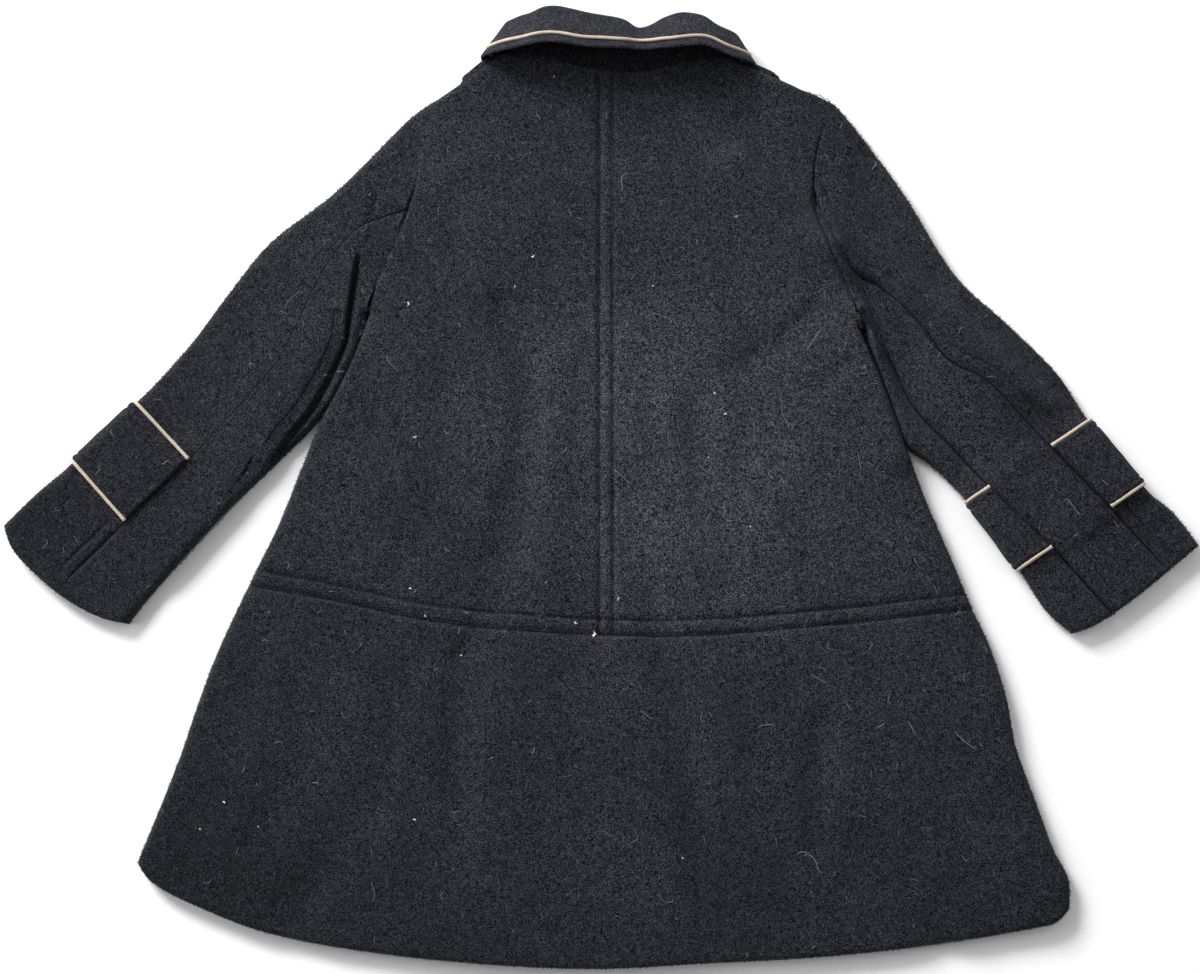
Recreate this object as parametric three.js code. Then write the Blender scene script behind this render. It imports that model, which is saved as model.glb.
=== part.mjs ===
// A child's A-line fleece coat, laid face down on a surface as a three.js scene graph.
// Millimetres, +Z up. The collar is at +Y, the wearer's left sleeve at -X, and the surface is z = 0.
// Every piece of cloth is a wall with an outer and an inner side, 0.3 mm from its neighbour at a seam.
import * as THREE from "three";
import { mergeVertices } from "three/addons/utils/BufferGeometryUtils.js";

// Driving dimensions.
const CLOTH = 3; // thickness of the fleece
const BAND_CLOTH = 2.2; // thickness of the cuff band
const SEAM = 0.3; // between two pieces at a straight seam, and between two that lie on each other
const CURVED_SEAM = 1; // between two pieces at the armhole and the back neck
const FRONT_NECK_SEAM = 3; // between the fronts and the collar
const LOFT = 9.2; // height of the back over the surface, where two layers lie
const LAP_RISE = 3.0; // how much higher it is over the lapped fronts
const ROLL = 4.8; // radius of a rolled edge in plan
const ROLL_LEVEL = 4.8; // height of the seam or fold along a rolled edge
const COLLAR_LIFT = CLOTH + 2 * SEAM; // what the front collar lifts the neck by
const CUFF_PIPING = 1.1; // radius of the piping on the cuff bands
const COLLAR_PIPING = 1.25; // radius of the piping on the collar
const COLLAR_EDGE = 8; // width of the strip outside the collar's piping
const COLLAR_GROOVE = 1.9; // between the middle of the collar's piping and the cloth on each side of it
const FRONT_NECK_END = 0.49; // share of the front neck at which the collar's two ends meet
const SLEEVE_WIDTH = 95; // about, in plan
const BODICE = { width: 210, height: 340 }; // of one half, about, in plan
const SKIRT = { width: 500, height: 190, front: 260 }; // about, in plan
const TURN = [0, 0.134, 0.5, 1]; // closer steps over a rolled edge, as shares of its radius
const NAVY = new THREE.Color(0.045, 0.05, 0.075);
const CREAM = new THREE.Color(0.78, 0.68, 0.55);
const FLEECE_ROUGHNESS = 0.95;
const PIPING_ROUGHNESS = 0.6;
// The middle of the coat's box, which becomes the origin.
const MIDDLE = { x: 0.8, y: 2.6 };

// Outlines in plan, as the coat lies.
const LEFT_SIDE_SKIRT = [
  { x: -281, y: -231 }, { x: -266, y: -193 }, { x: -255, y: -163 }, { x: -245, y: -132 },
  { x: -234, y: -102 }, { x: -216, y: -62 },
];
const RIGHT_SIDE_SKIRT = [
  { x: 285, y: -258 }, { x: 284.5, y: -241 }, { x: 276, y: -224 }, { x: 265, y: -193 }, { x: 254, y: -161 },
  { x: 249, y: -132 }, { x: 240, y: -102 }, { x: 229, y: -77 },
];
const HEM = [
  { x: -281, y: -231 }, { x: -272, y: -243 }, { x: -248, y: -256 }, { x: -200, y: -274 },
  { x: -133, y: -286 }, { x: -60, y: -293 }, { x: 0, y: -295 }, { x: 60, y: -292 },
  { x: 133, y: -288 }, { x: 200, y: -281 }, { x: 262, y: -271 }, { x: 277, y: -267 },
  { x: 285, y: -258 },
];
const WAIST = [
  { x: -216, y: -62 }, { x: -162, y: -72 }, { x: -105, y: -84 }, { x: -52, y: -90 }, { x: 0, y: -93 },
  { x: 55, y: -93.5 }, { x: 111, y: -89.5 }, { x: 166, y: -84 }, { x: 229, y: -77 },
];
const LEFT_SIDE = [
  { x: -216, y: -62 }, { x: -198, y: -24 }, { x: -186, y: 7 }, { x: -174, y: 38 },
  { x: -164, y: 58 }, { x: -152.5, y: 83 }, { x: -144, y: 107 },
];
const RIGHT_SIDE = [
  { x: 229, y: -77 }, { x: 214, y: -40 }, { x: 201, y: -9 }, { x: 189.6, y: 24 },
  { x: 182, y: 47 }, { x: 173, y: 72 }, { x: 162, y: 98 },
];
// From the shoulder point to the underarm.
const LEFT_ARMHOLE = [
  { x: -119, y: 233 }, { x: -115, y: 212 }, { x: -114, y: 194 }, { x: -119, y: 176 },
  { x: -128, y: 152 }, { x: -137, y: 133 }, { x: -147, y: 107 },
];
const RIGHT_ARMHOLE = [
  { x: 148, y: 241 }, { x: 138, y: 221 }, { x: 133, y: 200 }, { x: 135, y: 172 },
  { x: 144, y: 145 }, { x: 155, y: 121 }, { x: 164, y: 98 },
];
const LEFT_SHOULDER = [{ x: -67, y: 270 }, { x: -88, y: 254 }, { x: -101, y: 245 }, { x: -119, y: 233 }];
const RIGHT_SHOULDER = [{ x: 90, y: 267 }, { x: 113, y: 257 }, { x: 126, y: 251 }, { x: 148, y: 241 }];
const BACK_NECK = [
  { x: -67, y: 270 }, { x: -50, y: 272 }, { x: -30, y: 267 }, { x: -15, y: 261 }, { x: 0, y: 258 },
  { x: 25, y: 256 }, { x: 50, y: 262 }, { x: 66, y: 267 }, { x: 78, y: 268 }, { x: 90, y: 267 },
];
const FRONT_NECK = [
  { x: -67, y: 270 }, { x: -57, y: 238 }, { x: -35, y: 212 }, { x: 12, y: 203 },
  { x: 60, y: 212 }, { x: 82, y: 238 }, { x: 90, y: 267 },
];
// The fronts' free edges in x, and how far beside them the cloth begins to rise.
const LAP = { left: -48, right: 62, before: 20, after: 4, soft: 26 };

// Sleeves, a row for each cross line from the cuff to the armhole.
const LEFT_SLEEVE = [
  { outerX: -367.5, outerY: -24.5, innerX: -289.5, innerY: -85.5 },
  { outerX: -347, outerY: -4, innerX: -278, innerY: -70 },
  { outerX: -325.5, outerY: 14.5, innerX: -264, innerY: -54 },
  { outerX: -287.5, outerY: 51.5, innerX: -227, innerY: -13 },
  { outerX: -257, outerY: 85.5, innerX: -196, innerY: 18 },
  { outerX: -234, outerY: 117, innerX: -177, innerY: 35 },
  { outerX: -206, outerY: 153, innerX: -166, innerY: 56 },
  { outerX: -165, outerY: 186, innerX: -156.5, innerY: 82 },
  { outerX: -119, outerY: 233, innerX: -147, innerY: 107 },
];
const RIGHT_SLEEVE = [
  { outerX: 369, outerY: -37, innerX: 290, innerY: -91.5 },
  { outerX: 354, outerY: -17, innerX: 274, innerY: -77 },
  { outerX: 335, outerY: 0, innerX: 258, innerY: -52 },
  { outerX: 303, outerY: 40, innerX: 227, innerY: -10 },
  { outerX: 284, outerY: 70, innerX: 206, innerY: 12 },
  { outerX: 254, outerY: 101, innerX: 192, innerY: 26 },
  { outerX: 221, outerY: 133, innerX: 184, innerY: 49 },
  { outerX: 187, outerY: 189, innerX: 177, innerY: 74 },
  { outerX: 148, outerY: 241, innerX: 164, innerY: 98 },
];
const LEFT_CUFF = [
  { x: -367.5, y: -24.5 }, { x: -361.4, y: -40 }, { x: -347, y: -55.4 }, { x: -327.4, y: -71 },
  { x: -307.5, y: -81.4 }, { x: -289.5, y: -85.5 },
];
const RIGHT_CUFF = [
  { x: 369, y: -37 }, { x: 347, y: -55.4 }, { x: 327.4, y: -71 }, { x: 305, y: -86 }, { x: 290, y: -91.5 },
];
const LEFT_BACK_SEAM = [
  { x: -325, y: -56 }, { x: -292, y: -23 }, { x: -254, y: 15 }, { x: -215, y: 59 }, { x: -197, y: 82 },
  { x: -182, y: 115 }, { x: -170, y: 138 }, { x: -150, y: 162 }, { x: -118, y: 174 },
];
const RIGHT_BACK_SEAM = [
  { x: 347, y: -50 }, { x: 316.5, y: -16.5 }, { x: 278.5, y: 24 }, { x: 242, y: 62.7 }, { x: 217, y: 78 },
  { x: 197, y: 103 }, { x: 176, y: 124 }, { x: 157, y: 136 }, { x: 142, y: 164 }, { x: 134, y: 184 },
];
const RIGHT_FRONT_SEAM = [
  { x: 314, y: -79 }, { x: 283, y: -44 }, { x: 250, y: -12.5 }, { x: 221, y: 21 }, { x: 200, y: 43 },
  { x: 190, y: 58 }, { x: 182, y: 76 }, { x: 164, y: 107 },
];
// The left front seam is on the underside: its share of the sleeve's width, at the cuff and at the armhole.
const FRONT_SEAM_UNDER = { cuff: 0.92, armhole: 0.8 };
// The upper and the under sleeve stop at the right front seam, or at these shares where that is nearer.
const FRONT_SEAM_END = { upper: 0.965, under: 0.955 };
const SEAM_SHARE = 0.4 / SLEEVE_WIDTH; // half the gap at a sleeve's seam, as a share of its width
const BAND_SEAM_SHARE = SEAM_SHARE + 0.002; // the same at the ends of the band
const ARMHOLE_GAP = 0.05;
// The cuff band, in rows of a sleeve's table; inset is its distance from the piping's rows.
const BAND = { low: 2, high: 3, lift: BAND_CLOTH + SEAM, soft: 0.35, inset: 0.06 };
const BAND_ROWS = [BAND.low + BAND.inset, 2.35, 2.65, BAND.high - BAND.inset];
const SLEEVE_ROWS = [
  0, 0.5, 1, 1.35, 1.65, 2, 2.5, 3, 3.35, 3.7, 4.2, 4.7, 5.2, 5.7, 6.2, 6.7, 7.2, 7.6, 8,
];

// Folds of the upper side: a curve through three points, and how far it reaches to each side of it.
const FOLDS = [
  { from: [-60, 110], by: [-43, 46], to: [-78, -108], rise: -2.4, left: 12, right: 9 },
  { from: [-30, 70], by: [-28, 0], to: [-34, -60], rise: 1.6, left: 16, right: 14 },
  { from: [61, 50], by: [68, -14], to: [78, -60], rise: -2, left: 9, right: 10 },
  { from: [134, 110], by: [112, 90], to: [93, 76], rise: -1.5, left: 9, right: 9 },
  { from: [123, -22], by: [167, -93], to: [238, -202], rise: -2.4, left: 16, right: 13 },
  { from: [15, -10], by: [41, -108], to: [71, -281], rise: -2, left: 10, right: 10 },
  { from: [-78, -108], by: [-84, -150], to: [-86, -190], rise: -2, left: 14, right: 10 },
  { from: [134, -150], by: [133, -185], to: [132, -221], rise: -1.8, left: 9, right: 9 },
  { from: [160, -221], by: [182, -250], to: [205, -276], rise: -2, left: 11, right: 11 },
  { from: [-149, -206], by: [-166, -232], to: [-186, -262], rise: -2, left: 15, right: 15 },
  { from: [89, 203], by: [118, 176], to: [143, 148], rise: 3.2, left: 9, right: 16 },
  { from: [143, 148], by: [158, 110], to: [186, 20], rise: 2.6, left: 9, right: 14 },
  { from: [92, 228], by: [112, 195], to: [124, 172], rise: -1.6, left: 12, right: 9 },
  { from: [-67, 211], by: [-90, 196], to: [-112, 184], rise: 1.6, left: 12, right: 12 },
  { from: [-148, 160], by: [-166, 100], to: [-212, 22], rise: 5, left: 8, right: 26 },
  { from: [180, 134], by: [208, 104], to: [258, 60], rise: 2.6, left: 20, right: 12 },
  { from: [174, 122], by: [183, 95], to: [196, 54], rise: -2.4, left: 9, right: 9 },
];

// Collar, a row for each section round the neck, from the left front to the right front.
// at: place on the neck, 0 to 1 along the left front, to 2 along the back and to 3 along the right front.
// z: height of the stand's upper side. toX, toY: where the stand points. facing: which way the fall
// turns over, 0 up, 90 outward, 180 down. stand, fall: widths. roll: radius inside the turn.
// open: angle of the fall over the stand. proud: height of the piping's centre in the cloth.
const COLLAR = [
  { at: 0, z: 6.9, toX: 0, toY: 1, facing: 180,
    stand: 16, roll: 1.8, open: 0, fall: 44, proud: 1.6 },
  { at: 0.4, z: 6.9, toX: 0.3, toY: 0.95, facing: 180,
    stand: 16, roll: 1.8, open: 0, fall: 43, proud: 1.6 },
  { at: 0.66, z: 3.9, toX: 0.7, toY: 0.7, facing: 180,
    stand: 15, roll: 0.3, open: 0, fall: 38, proud: 1.6 },
  { at: 0.9, z: 4.1, toX: 0.7, toY: 0.71, facing: 180,
    stand: 17, roll: 0.3, open: 0, fall: 34, proud: 1.6 },
  { at: 1, z: 6.6, toX: 0.5, toY: 0.86, facing: 110,
    stand: 21, roll: 1.4, open: 5, fall: 27, proud: 2.2 },
  { at: 1.06, z: 10.4, toX: 0.3, toY: 0.95, facing: 50,
    stand: 20, roll: 2.8, open: 18, fall: 26, proud: 3 },
  { at: 1.12, z: 12.4, toX: 0.18, toY: 0.98, facing: 18,
    stand: 20, roll: 3.8, open: 28, fall: 25, proud: 3.3 },
  { at: 1.2, z: 12.9, toX: 0.07, toY: 1, facing: 4,
    stand: 24, roll: 4, open: 32, fall: 25, proud: 3.3 },
  { at: 1.32, z: 12.8, toX: 0, toY: 1, facing: 0,
    stand: 28.5, roll: 4, open: 33, fall: 26, proud: 3.3 },
  { at: 1.42, z: 12.6, toX: 0, toY: 1, facing: 0,
    stand: 30, roll: 4, open: 36, fall: 26, proud: 3.3 },
  { at: 1.52, z: 12.6, toX: 0, toY: 1, facing: 0,
    stand: 31, roll: 4, open: 40, fall: 26, proud: 3.3 },
  { at: 1.63, z: 12.6, toX: 0, toY: 1, facing: 0,
    stand: 24.5, roll: 4, open: 50, fall: 26, proud: 3.3 },
  { at: 1.74, z: 12.7, toX: 0, toY: 1, facing: 0,
    stand: 29.5, roll: 4, open: 36, fall: 25.5, proud: 3.3 },
  { at: 1.84, z: 12.9, toX: -0.05, toY: 1, facing: -5,
    stand: 24.5, roll: 4, open: 32, fall: 25, proud: 3.3 },
  { at: 1.91, z: 12.5, toX: -0.18, toY: 0.98, facing: -18,
    stand: 18, roll: 3.6, open: 26, fall: 22.5, proud: 3.2 },
  { at: 1.97, z: 9.8, toX: -0.32, toY: 0.95, facing: -60,
    stand: 15, roll: 2.4, open: 14, fall: 18, proud: 2.8 },
  { at: 2.02, z: 5, toX: -0.5, toY: 0.86, facing: -150,
    stand: 15, roll: 0.9, open: 0, fall: 20, proud: 1.9 },
  { at: 2.16, z: 3.9, toX: -0.75, toY: 0.66, facing: -180,
    stand: 15, roll: 0.3, open: 0, fall: 34, proud: 1.6 },
  { at: 2.5, z: 3.9, toX: -0.5, toY: 0.86, facing: -180,
    stand: 15, roll: 0.3, open: 0, fall: 42, proud: 1.6 },
  { at: 3, z: 3.9, toX: 0, toY: 1, facing: -180,
    stand: 16, roll: 0.3, open: 0, fall: 44, proud: 1.6 },
];

// Small plan geometry.
const mix = (a, b, t) => a + (b - a) * t;
const smooth = (a, b, x) => THREE.MathUtils.smoothstep(x, Math.min(a, b), Math.max(a, b));
const curveOf = (rows) => new THREE.SplineCurve(rows.map((p) => new THREE.Vector2(p.x, p.y)));
const onCurve = (curve, share) => curve.getPointAt(THREE.MathUtils.clamp(share, 0, 1));

function polyline(curve, count) {
  return Array.from({ length: count + 1 }, (_, i) => onCurve(curve, i / count));
}

// Distance from a point to a polyline, which side it is on, and the nearest point.
function nearest(line, x, y) {
  let best = { far: Infinity };
  for (let i = 1; i < line.length; i++) {
    const a = line[i - 1];
    const dx = line[i].x - a.x;
    const dy = line[i].y - a.y;
    const t = THREE.MathUtils.clamp(((x - a.x) * dx + (y - a.y) * dy) / (dx * dx + dy * dy), 0, 1);
    const px = a.x + t * dx;
    const py = a.y + t * dy;
    const far = Math.hypot(x - px, y - py);
    if (far < best.far) best = { far, x: px, y: py, side: Math.sign(dx * (y - a.y) - dy * (x - a.x)) };
  }
  return best;
}

const outerLine = (rows) => rows.map((r) => ({ x: r.outerX, y: r.outerY }));
const innerLine = (rows) => rows.map((r) => ({ x: r.innerX, y: r.innerY }));
const rolledLine = (rows) => polyline(curveOf(rows), 60);
const leftEdge = curveOf([...LEFT_SIDE_SKIRT, ...LEFT_SIDE.slice(1)]);
const rightEdge = curveOf([...RIGHT_SIDE_SKIRT, ...RIGHT_SIDE.slice(1)]);
const leftTop = rolledLine([...LEFT_SHOULDER, ...outerLine(LEFT_SLEEVE).reverse().slice(1)]);
const rightTop = rolledLine([...RIGHT_SHOULDER, ...outerLine(RIGHT_SLEEVE).reverse().slice(1)]);
const bodyEdges = [leftTop, rightTop, polyline(leftEdge, 60), polyline(rightEdge, 60)];
const leftSleeveEdges = [leftTop, rolledLine(innerLine(LEFT_SLEEVE))];
const rightSleeveEdges = [rightTop, rolledLine(innerLine(RIGHT_SLEEVE))];

const foldLines = FOLDS.map((f) => ({
  ...f,
  line: polyline(curveOf([f.from, f.by, f.to].map(([x, y]) => ({ x, y }))), 12),
}));

// How far the front that lies on the other has risen: it does so before that one's edge.
function lapShare(x) {
  const from = LAP.left - LAP.before;
  const to = LAP.right + LAP.after;
  return smooth(from - LAP.soft, from, x) * (1 - smooth(to, to + LAP.soft, x));
}

const lapLevel = (x) => (CLOTH + 2 * SEAM) * lapShare(x);

// Height of the upper side, before the edges roll down.
function topHeight(x, y) {
  const lap = lapShare(x);
  let z = LOFT + LAP_RISE * lap * (1 - smooth(185, 215, y));
  for (const f of foldLines) {
    const at = nearest(f.line, x, y);
    const reach = at.side > 0 ? f.left : f.right;
    z += f.rise * Math.exp(-((at.far / reach) ** 2));
  }
  return Math.max(z, 2 * CLOTH + 2 * SEAM + lapLevel(x));
}

// How far the neck is lifted by the front collar under it.
function neckLift(x, y) {
  return COLLAR_LIFT * smooth(110, 170, y) * (1 - smooth(106, 132, Math.abs(x - 12.5)));
}

// The outer point of the cloth over a place in plan and its way out there; levels are its heights inside
// the rolled edges and what it is lifted and split by at them. outward is the way out at the very edge.
function clothPoint(place, upper, edges, levels, outward) {
  let at = { far: Infinity };
  for (const line of edges) {
    const n = nearest(line, place.x, place.y);
    if (n.far < at.far) at = n;
  }
  const cos = Math.max(0, 1 - at.far / ROLL);
  const sin = Math.sqrt(1 - cos * cos);
  const edge = ROLL_LEVEL + lapLevel(place.x) / 2 + levels.lift + (upper ? levels.split : -levels.split);
  const z = mix(edge, (upper ? levels.top : levels.bottom) + levels.lift, sin);
  const out = new THREE.Vector2(at.x - place.x, at.y - place.y);
  const flat = out.length() > 0.05 ? out.normalize() : outward;
  const normal = new THREE.Vector3(flat.x * cos, flat.y * cos, upper ? sin : -sin).normalize();
  return { outer: new THREE.Vector3(place.x, place.y, z), normal };
}

// The way from one place in plan to another.
const wayTo = (from, to) => new THREE.Vector2(to.x - from.x, to.y - from.y).normalize();

// A closed wall from a grid of points and normals, which starts so far out from them.
function wall(grid, thickness, start = -thickness) {
  const rows = grid.length;
  const columns = grid[0].length;
  const points = [];
  for (const depth of [start + thickness, start]) {
    for (const p of grid.flat()) points.push(p.outer.clone().addScaledVector(p.normal, depth));
  }
  return closedGrid(points, rows, columns);
}

function closedGrid(points, rows, columns) {
  const faces = [];
  const near = (r, c) => r * columns + c;
  const far = (r, c) => rows * columns + r * columns + c;
  const quad = (a, b, c, d) => faces.push(a, b, c, a, c, d);
  for (let r = 0; r + 1 < rows; r++) {
    for (let c = 0; c + 1 < columns; c++) {
      quad(near(r, c), near(r, c + 1), near(r + 1, c + 1), near(r + 1, c));
      quad(far(r, c), far(r + 1, c), far(r + 1, c + 1), far(r, c + 1));
    }
    quad(near(r, 0), near(r + 1, 0), far(r + 1, 0), far(r, 0));
    quad(near(r + 1, columns - 1), near(r, columns - 1), far(r, columns - 1), far(r + 1, columns - 1));
  }
  for (let c = 0; c + 1 < columns; c++) {
    quad(near(0, c + 1), near(0, c), far(0, c), far(0, c + 1));
    quad(near(rows - 1, c), near(rows - 1, c + 1), far(rows - 1, c + 1), far(rows - 1, c));
  }
  return solid(points, faces);
}

// A tube through rings of points, capped at both ends.
function tube(rings) {
  const sides = rings[0].length;
  const points = rings.flat();
  const faces = [];
  for (let r = 0; r + 1 < rings.length; r++) {
    for (let k = 0; k < sides; k++) {
      const a = r * sides + k;
      const b = r * sides + ((k + 1) % sides);
      faces.push(a, b, b + sides, a, b + sides, a + sides);
    }
  }
  const last = (rings.length - 1) * sides;
  for (let k = 1; k + 1 < sides; k++) {
    faces.push(0, k + 1, k);
    faces.push(last, last + k, last + k + 1);
  }
  return solid(points, faces);
}

// A six-sided ring of a piping cord.
function cordRing(center, up, along, radius) {
  return Array.from({ length: 6 }, (_, k) => {
    const angle = (k * Math.PI) / 3;
    return center.clone().addScaledVector(up, radius * Math.cos(angle))
      .addScaledVector(along, radius * Math.sin(angle));
  });
}

// A geometry with its faces turned outward.
function solid(points, faces) {
  let volume = 0;
  for (let i = 0; i < faces.length; i += 3) {
    const [a, b, c] = [points[faces[i]], points[faces[i + 1]], points[faces[i + 2]]];
    volume += a.dot(b.clone().cross(c));
  }
  if (volume < 0) {
    for (let i = 0; i < faces.length; i += 3) [faces[i + 1], faces[i + 2]] = [faces[i + 2], faces[i + 1]];
  }
  const geometry = new THREE.BufferGeometry().setFromPoints(points);
  geometry.setIndex(faces);
  const merged = mergeVertices(geometry);
  merged.computeVertexNormals();
  return merged;
}

const coat = new THREE.Group();
coat.position.set(-MIDDLE.x, -MIDDLE.y, 0);

function add(name, geometry, color = NAVY, roughness = FLEECE_ROUGHNESS) {
  const mesh = new THREE.Mesh(geometry, new THREE.MeshStandardMaterial({ color, roughness, metalness: 0 }));
  mesh.name = name;
  coat.add(mesh);
}

// A patch between four curves: across runs along low and high, and up runs along start and end.
function patch(low, high, start, end) {
  const corner = [onCurve(low, 0), onCurve(low, 1), onCurve(high, 0), onCurve(high, 1)];
  return (u, v) => {
    const [l, h, s, e] = [onCurve(low, u), onCurve(high, u), onCurve(start, v), onCurve(end, v)];
    const axis = (k) =>
      mix(l[k], h[k], v) + mix(s[k], e[k], u) -
      mix(mix(corner[0][k], corner[1][k], u), mix(corner[2][k], corner[3][k], u), v);
    return { x: axis("x"), y: axis("y") };
  };
}

// Shares from 0 to 1 in even steps, with closer ones where an edge rolls over.
function shares(count, length, rolledStart, rolledEnd) {
  const turn = TURN.map((k) => (k * ROLL) / length);
  const start = rolledStart ? turn : [0];
  const end = rolledEnd ? turn.map((k) => 1 - k).reverse() : [1];
  const inner = [];
  for (let i = 1; i < count; i++) inner.push(mix(start[start.length - 1], end[0], i / count));
  return [...start, ...inner, ...end];
}

// One panel of the body: its patch, shares across and up, which side it lies on, and its heights.
function bodyPanel(place, across, up, upper, bottom = () => 0) {
  const grid = up.map((v) => across.map((u) => {
    const p = place(u, v);
    const inside = place(mix(u, 0.5, 0.02), mix(v, 0.5, 0.02));
    const [lift, top] = [neckLift(p.x, p.y), topHeight(p.x, p.y)];
    const levels = { lift, top, bottom: bottom(p.x), split: SEAM / 2 };
    return clothPoint(p, upper, bodyEdges, levels, wayTo(inside, p));
  }));
  return wall(grid, CLOTH);
}

// The stretch of a curve between two shares of its length.
function part(curve, from, to) {
  return curveOf(Array.from({ length: 25 }, (_, i) => onCurve(curve, mix(from, to, i / 24))));
}

const straight = (a, b) => curveOf([a, { x: mix(a.x, b.x, 0.5), y: mix(a.y, b.y, 0.5) }, b]);
const shifted = (rows, dx, dy) => rows.map((p) => ({ x: p.x + dx, y: p.y + dy }));

// The share of a curve's length at which it passes a given x.
function shareAt(curve, x) {
  let best = 0;
  for (let i = 0; i <= 400; i++) {
    if (Math.abs(onCurve(curve, i / 400).x - x) < Math.abs(onCurve(curve, best).x - x)) best = i / 400;
  }
  return best;
}

const waist = curveOf(WAIST);
const hem = curveOf(HEM);
const waistUnder = curveOf(shifted(WAIST, 0, -SEAM));
const neck = curveOf(BACK_NECK);
const frontNeck = curveOf(FRONT_NECK);

// The outline of a half of the bodice beyond its centre line, as one curve up the side and the armhole.
function sideCurve(edge, waistX, armhole, inward) {
  const side = polyline(part(edge, shareAt(edge, waistX), 1), 24);
  return curveOf([...side, ...shifted([...armhole].reverse().slice(1), inward, 0)]);
}
const leftSideCurve = sideCurve(leftEdge, WAIST[0].x, LEFT_ARMHOLE, CURVED_SEAM);
const rightSideCurve = sideCurve(rightEdge, WAIST[WAIST.length - 1].x, RIGHT_ARMHOLE, -CURVED_SEAM);
// Closer rows along the armhole than along the side.
const BODICE_ROWS = [
  0, 0.07, 0.15, 0.23, 0.31, 0.39, 0.46, 0.52, 0.57, 0.62, 0.67, 0.72, 0.77, 0.82, 0.87, 0.92, 0.96,
];

// A bodice half from the centre line at x to the side; top is the neck's part and the shoulder.
function bodiceHalf(left, centerX, upper, neckCurve, columns, bottom) {
  const armEdge = left ? leftSideCurve : rightSideCurve;
  const shoulder = left ? LEFT_SHOULDER : RIGHT_SHOULDER;
  const armhole = shoulder[shoulder.length - 1];
  const centerShare = shareAt(neckCurve, centerX);
  const fromNeck = left ? part(neckCurve, centerShare, 0) : part(neckCurve, centerShare, 1);
  const inward = left ? 1 : -1;
  const top = curveOf([
    ...polyline(fromNeck, 5),
    ...shoulder.slice(1, -1),
    { x: armhole.x + inward * CURVED_SEAM, y: armhole.y },
  ]);
  const waistShare = shareAt(waist, centerX);
  const low = left ? part(waist, waistShare, 0) : part(waist, waistShare, 1);
  const center = straight(onCurve(low, 0), onCurve(top, 0));
  const place = patch(low, top, center, armEdge);
  const up = [...BODICE_ROWS, ...shares(1, BODICE.height, false, true).slice(1)];
  return bodyPanel(place, shares(columns, BODICE.width, false, true), up, upper, bottom);
}

add("back_left", bodiceHalf(true, -SEAM / 2, true, neck, 14));
add("back_right", bodiceHalf(false, SEAM / 2, true, neck, 14));
add("front_left", bodiceHalf(true, LAP.right, false, frontNeck, 10, lapLevel));
add("front_right", bodiceHalf(false, LAP.left, false, frontNeck, 9));

// The skirt under the waist seam: the back in one piece and the two fronts.
function skirtSide(edge, waistX) {
  const side = polyline(part(edge, 0, shareAt(edge, waistX)), 24);
  return curveOf([...side.slice(0, -1), ...shifted(side.slice(-1), 0, -SEAM)]);
}
const skirtLeft = skirtSide(leftEdge, WAIST[0].x);
const skirtRight = skirtSide(rightEdge, WAIST[WAIST.length - 1].x);
add("back_skirt", bodyPanel(patch(hem, waistUnder, skirtLeft, skirtRight),
  shares(36, SKIRT.width, true, true), shares(9, SKIRT.height, false, false), true));

function skirtFront(left, freeX, bottom) {
  const [hemShare, waistShare] = [shareAt(hem, freeX), shareAt(waistUnder, freeX)];
  const side = left ? 0 : 1;
  const low = part(hem, hemShare, side);
  const high = part(waistUnder, waistShare, side);
  const free = straight(onCurve(low, 0), onCurve(high, 0));
  const place = patch(low, high, free, left ? skirtLeft : skirtRight);
  const [across, up] = [shares(10, SKIRT.front, false, true), shares(5, SKIRT.height, false, false)];
  return bodyPanel(place, across, up, false, bottom);
}

add("front_skirt_left", skirtFront(true, LAP.right, lapLevel));
add("front_skirt_right", skirtFront(false, LAP.left));

// A sleeve's plan: a is the share across from its outer to its inner edge, row counts up its table.
function sleevePlan(rows, cuffRows, armholeRows, gap) {
  const last = rows.length - 1;
  const outer = curveOf(outerLine(rows));
  const inner = curveOf(innerLine(rows));
  const cuff = curveOf(cuffRows);
  const armhole = curveOf(shifted(armholeRows, gap, 0));
  return (a, row) => {
    const t = row / last;
    const [o, i] = [outer.getPoint(t), inner.getPoint(t)];
    const [c, h] = [onCurve(cuff, a), onCurve(armhole, a)];
    const [c0, c1, h0, h1] = [onCurve(cuff, 0), onCurve(cuff, 1), onCurve(armhole, 0), onCurve(armhole, 1)];
    const nearCuff = 1 - smooth(0, 2, row);
    const nearArmhole = smooth(last - 4, last, row);
    const axis = (k) =>
      mix(o[k], i[k], a) + nearCuff * (c[k] - mix(c0[k], c1[k], a)) +
      nearArmhole * (h[k] - mix(h0[k], h1[k], a));
    return { x: axis("x"), y: axis("y") };
  };
}

// Where a seam crosses a row of the sleeve, as the share across.
function crossing(plan, row, seamLine) {
  let best = { far: Infinity };
  for (let i = 0; i <= 400; i++) {
    const p = plan(i / 400, row);
    const { far } = nearest(seamLine, p.x, p.y);
    if (far < best.far) best = { far, a: i / 400 };
  }
  return best.a;
}

// How far the cloth over the band lifts.
function bandLift(row) {
  const rise = smooth(BAND.low - BAND.soft, BAND.low, row);
  return BAND.lift * rise * (1 - smooth(BAND.high, BAND.high + BAND.soft, row));
}

// A point on the sleeve: under is true on the underside.
function sleevePoint(plan, edges, a, row, under) {
  const p = plan(a, row);
  const levels = { lift: bandLift(row), top: topHeight(p.x, p.y), bottom: 0, split: 0 };
  return clothPoint(p, !under, edges, levels, wayTo(plan(mix(a, 0.5, 0.02), row), p));
}

const turnShares = TURN.map((k) => (k * ROLL) / SLEEVE_WIDTH);
const backwards = turnShares.map((k) => 1 - k);

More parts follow.
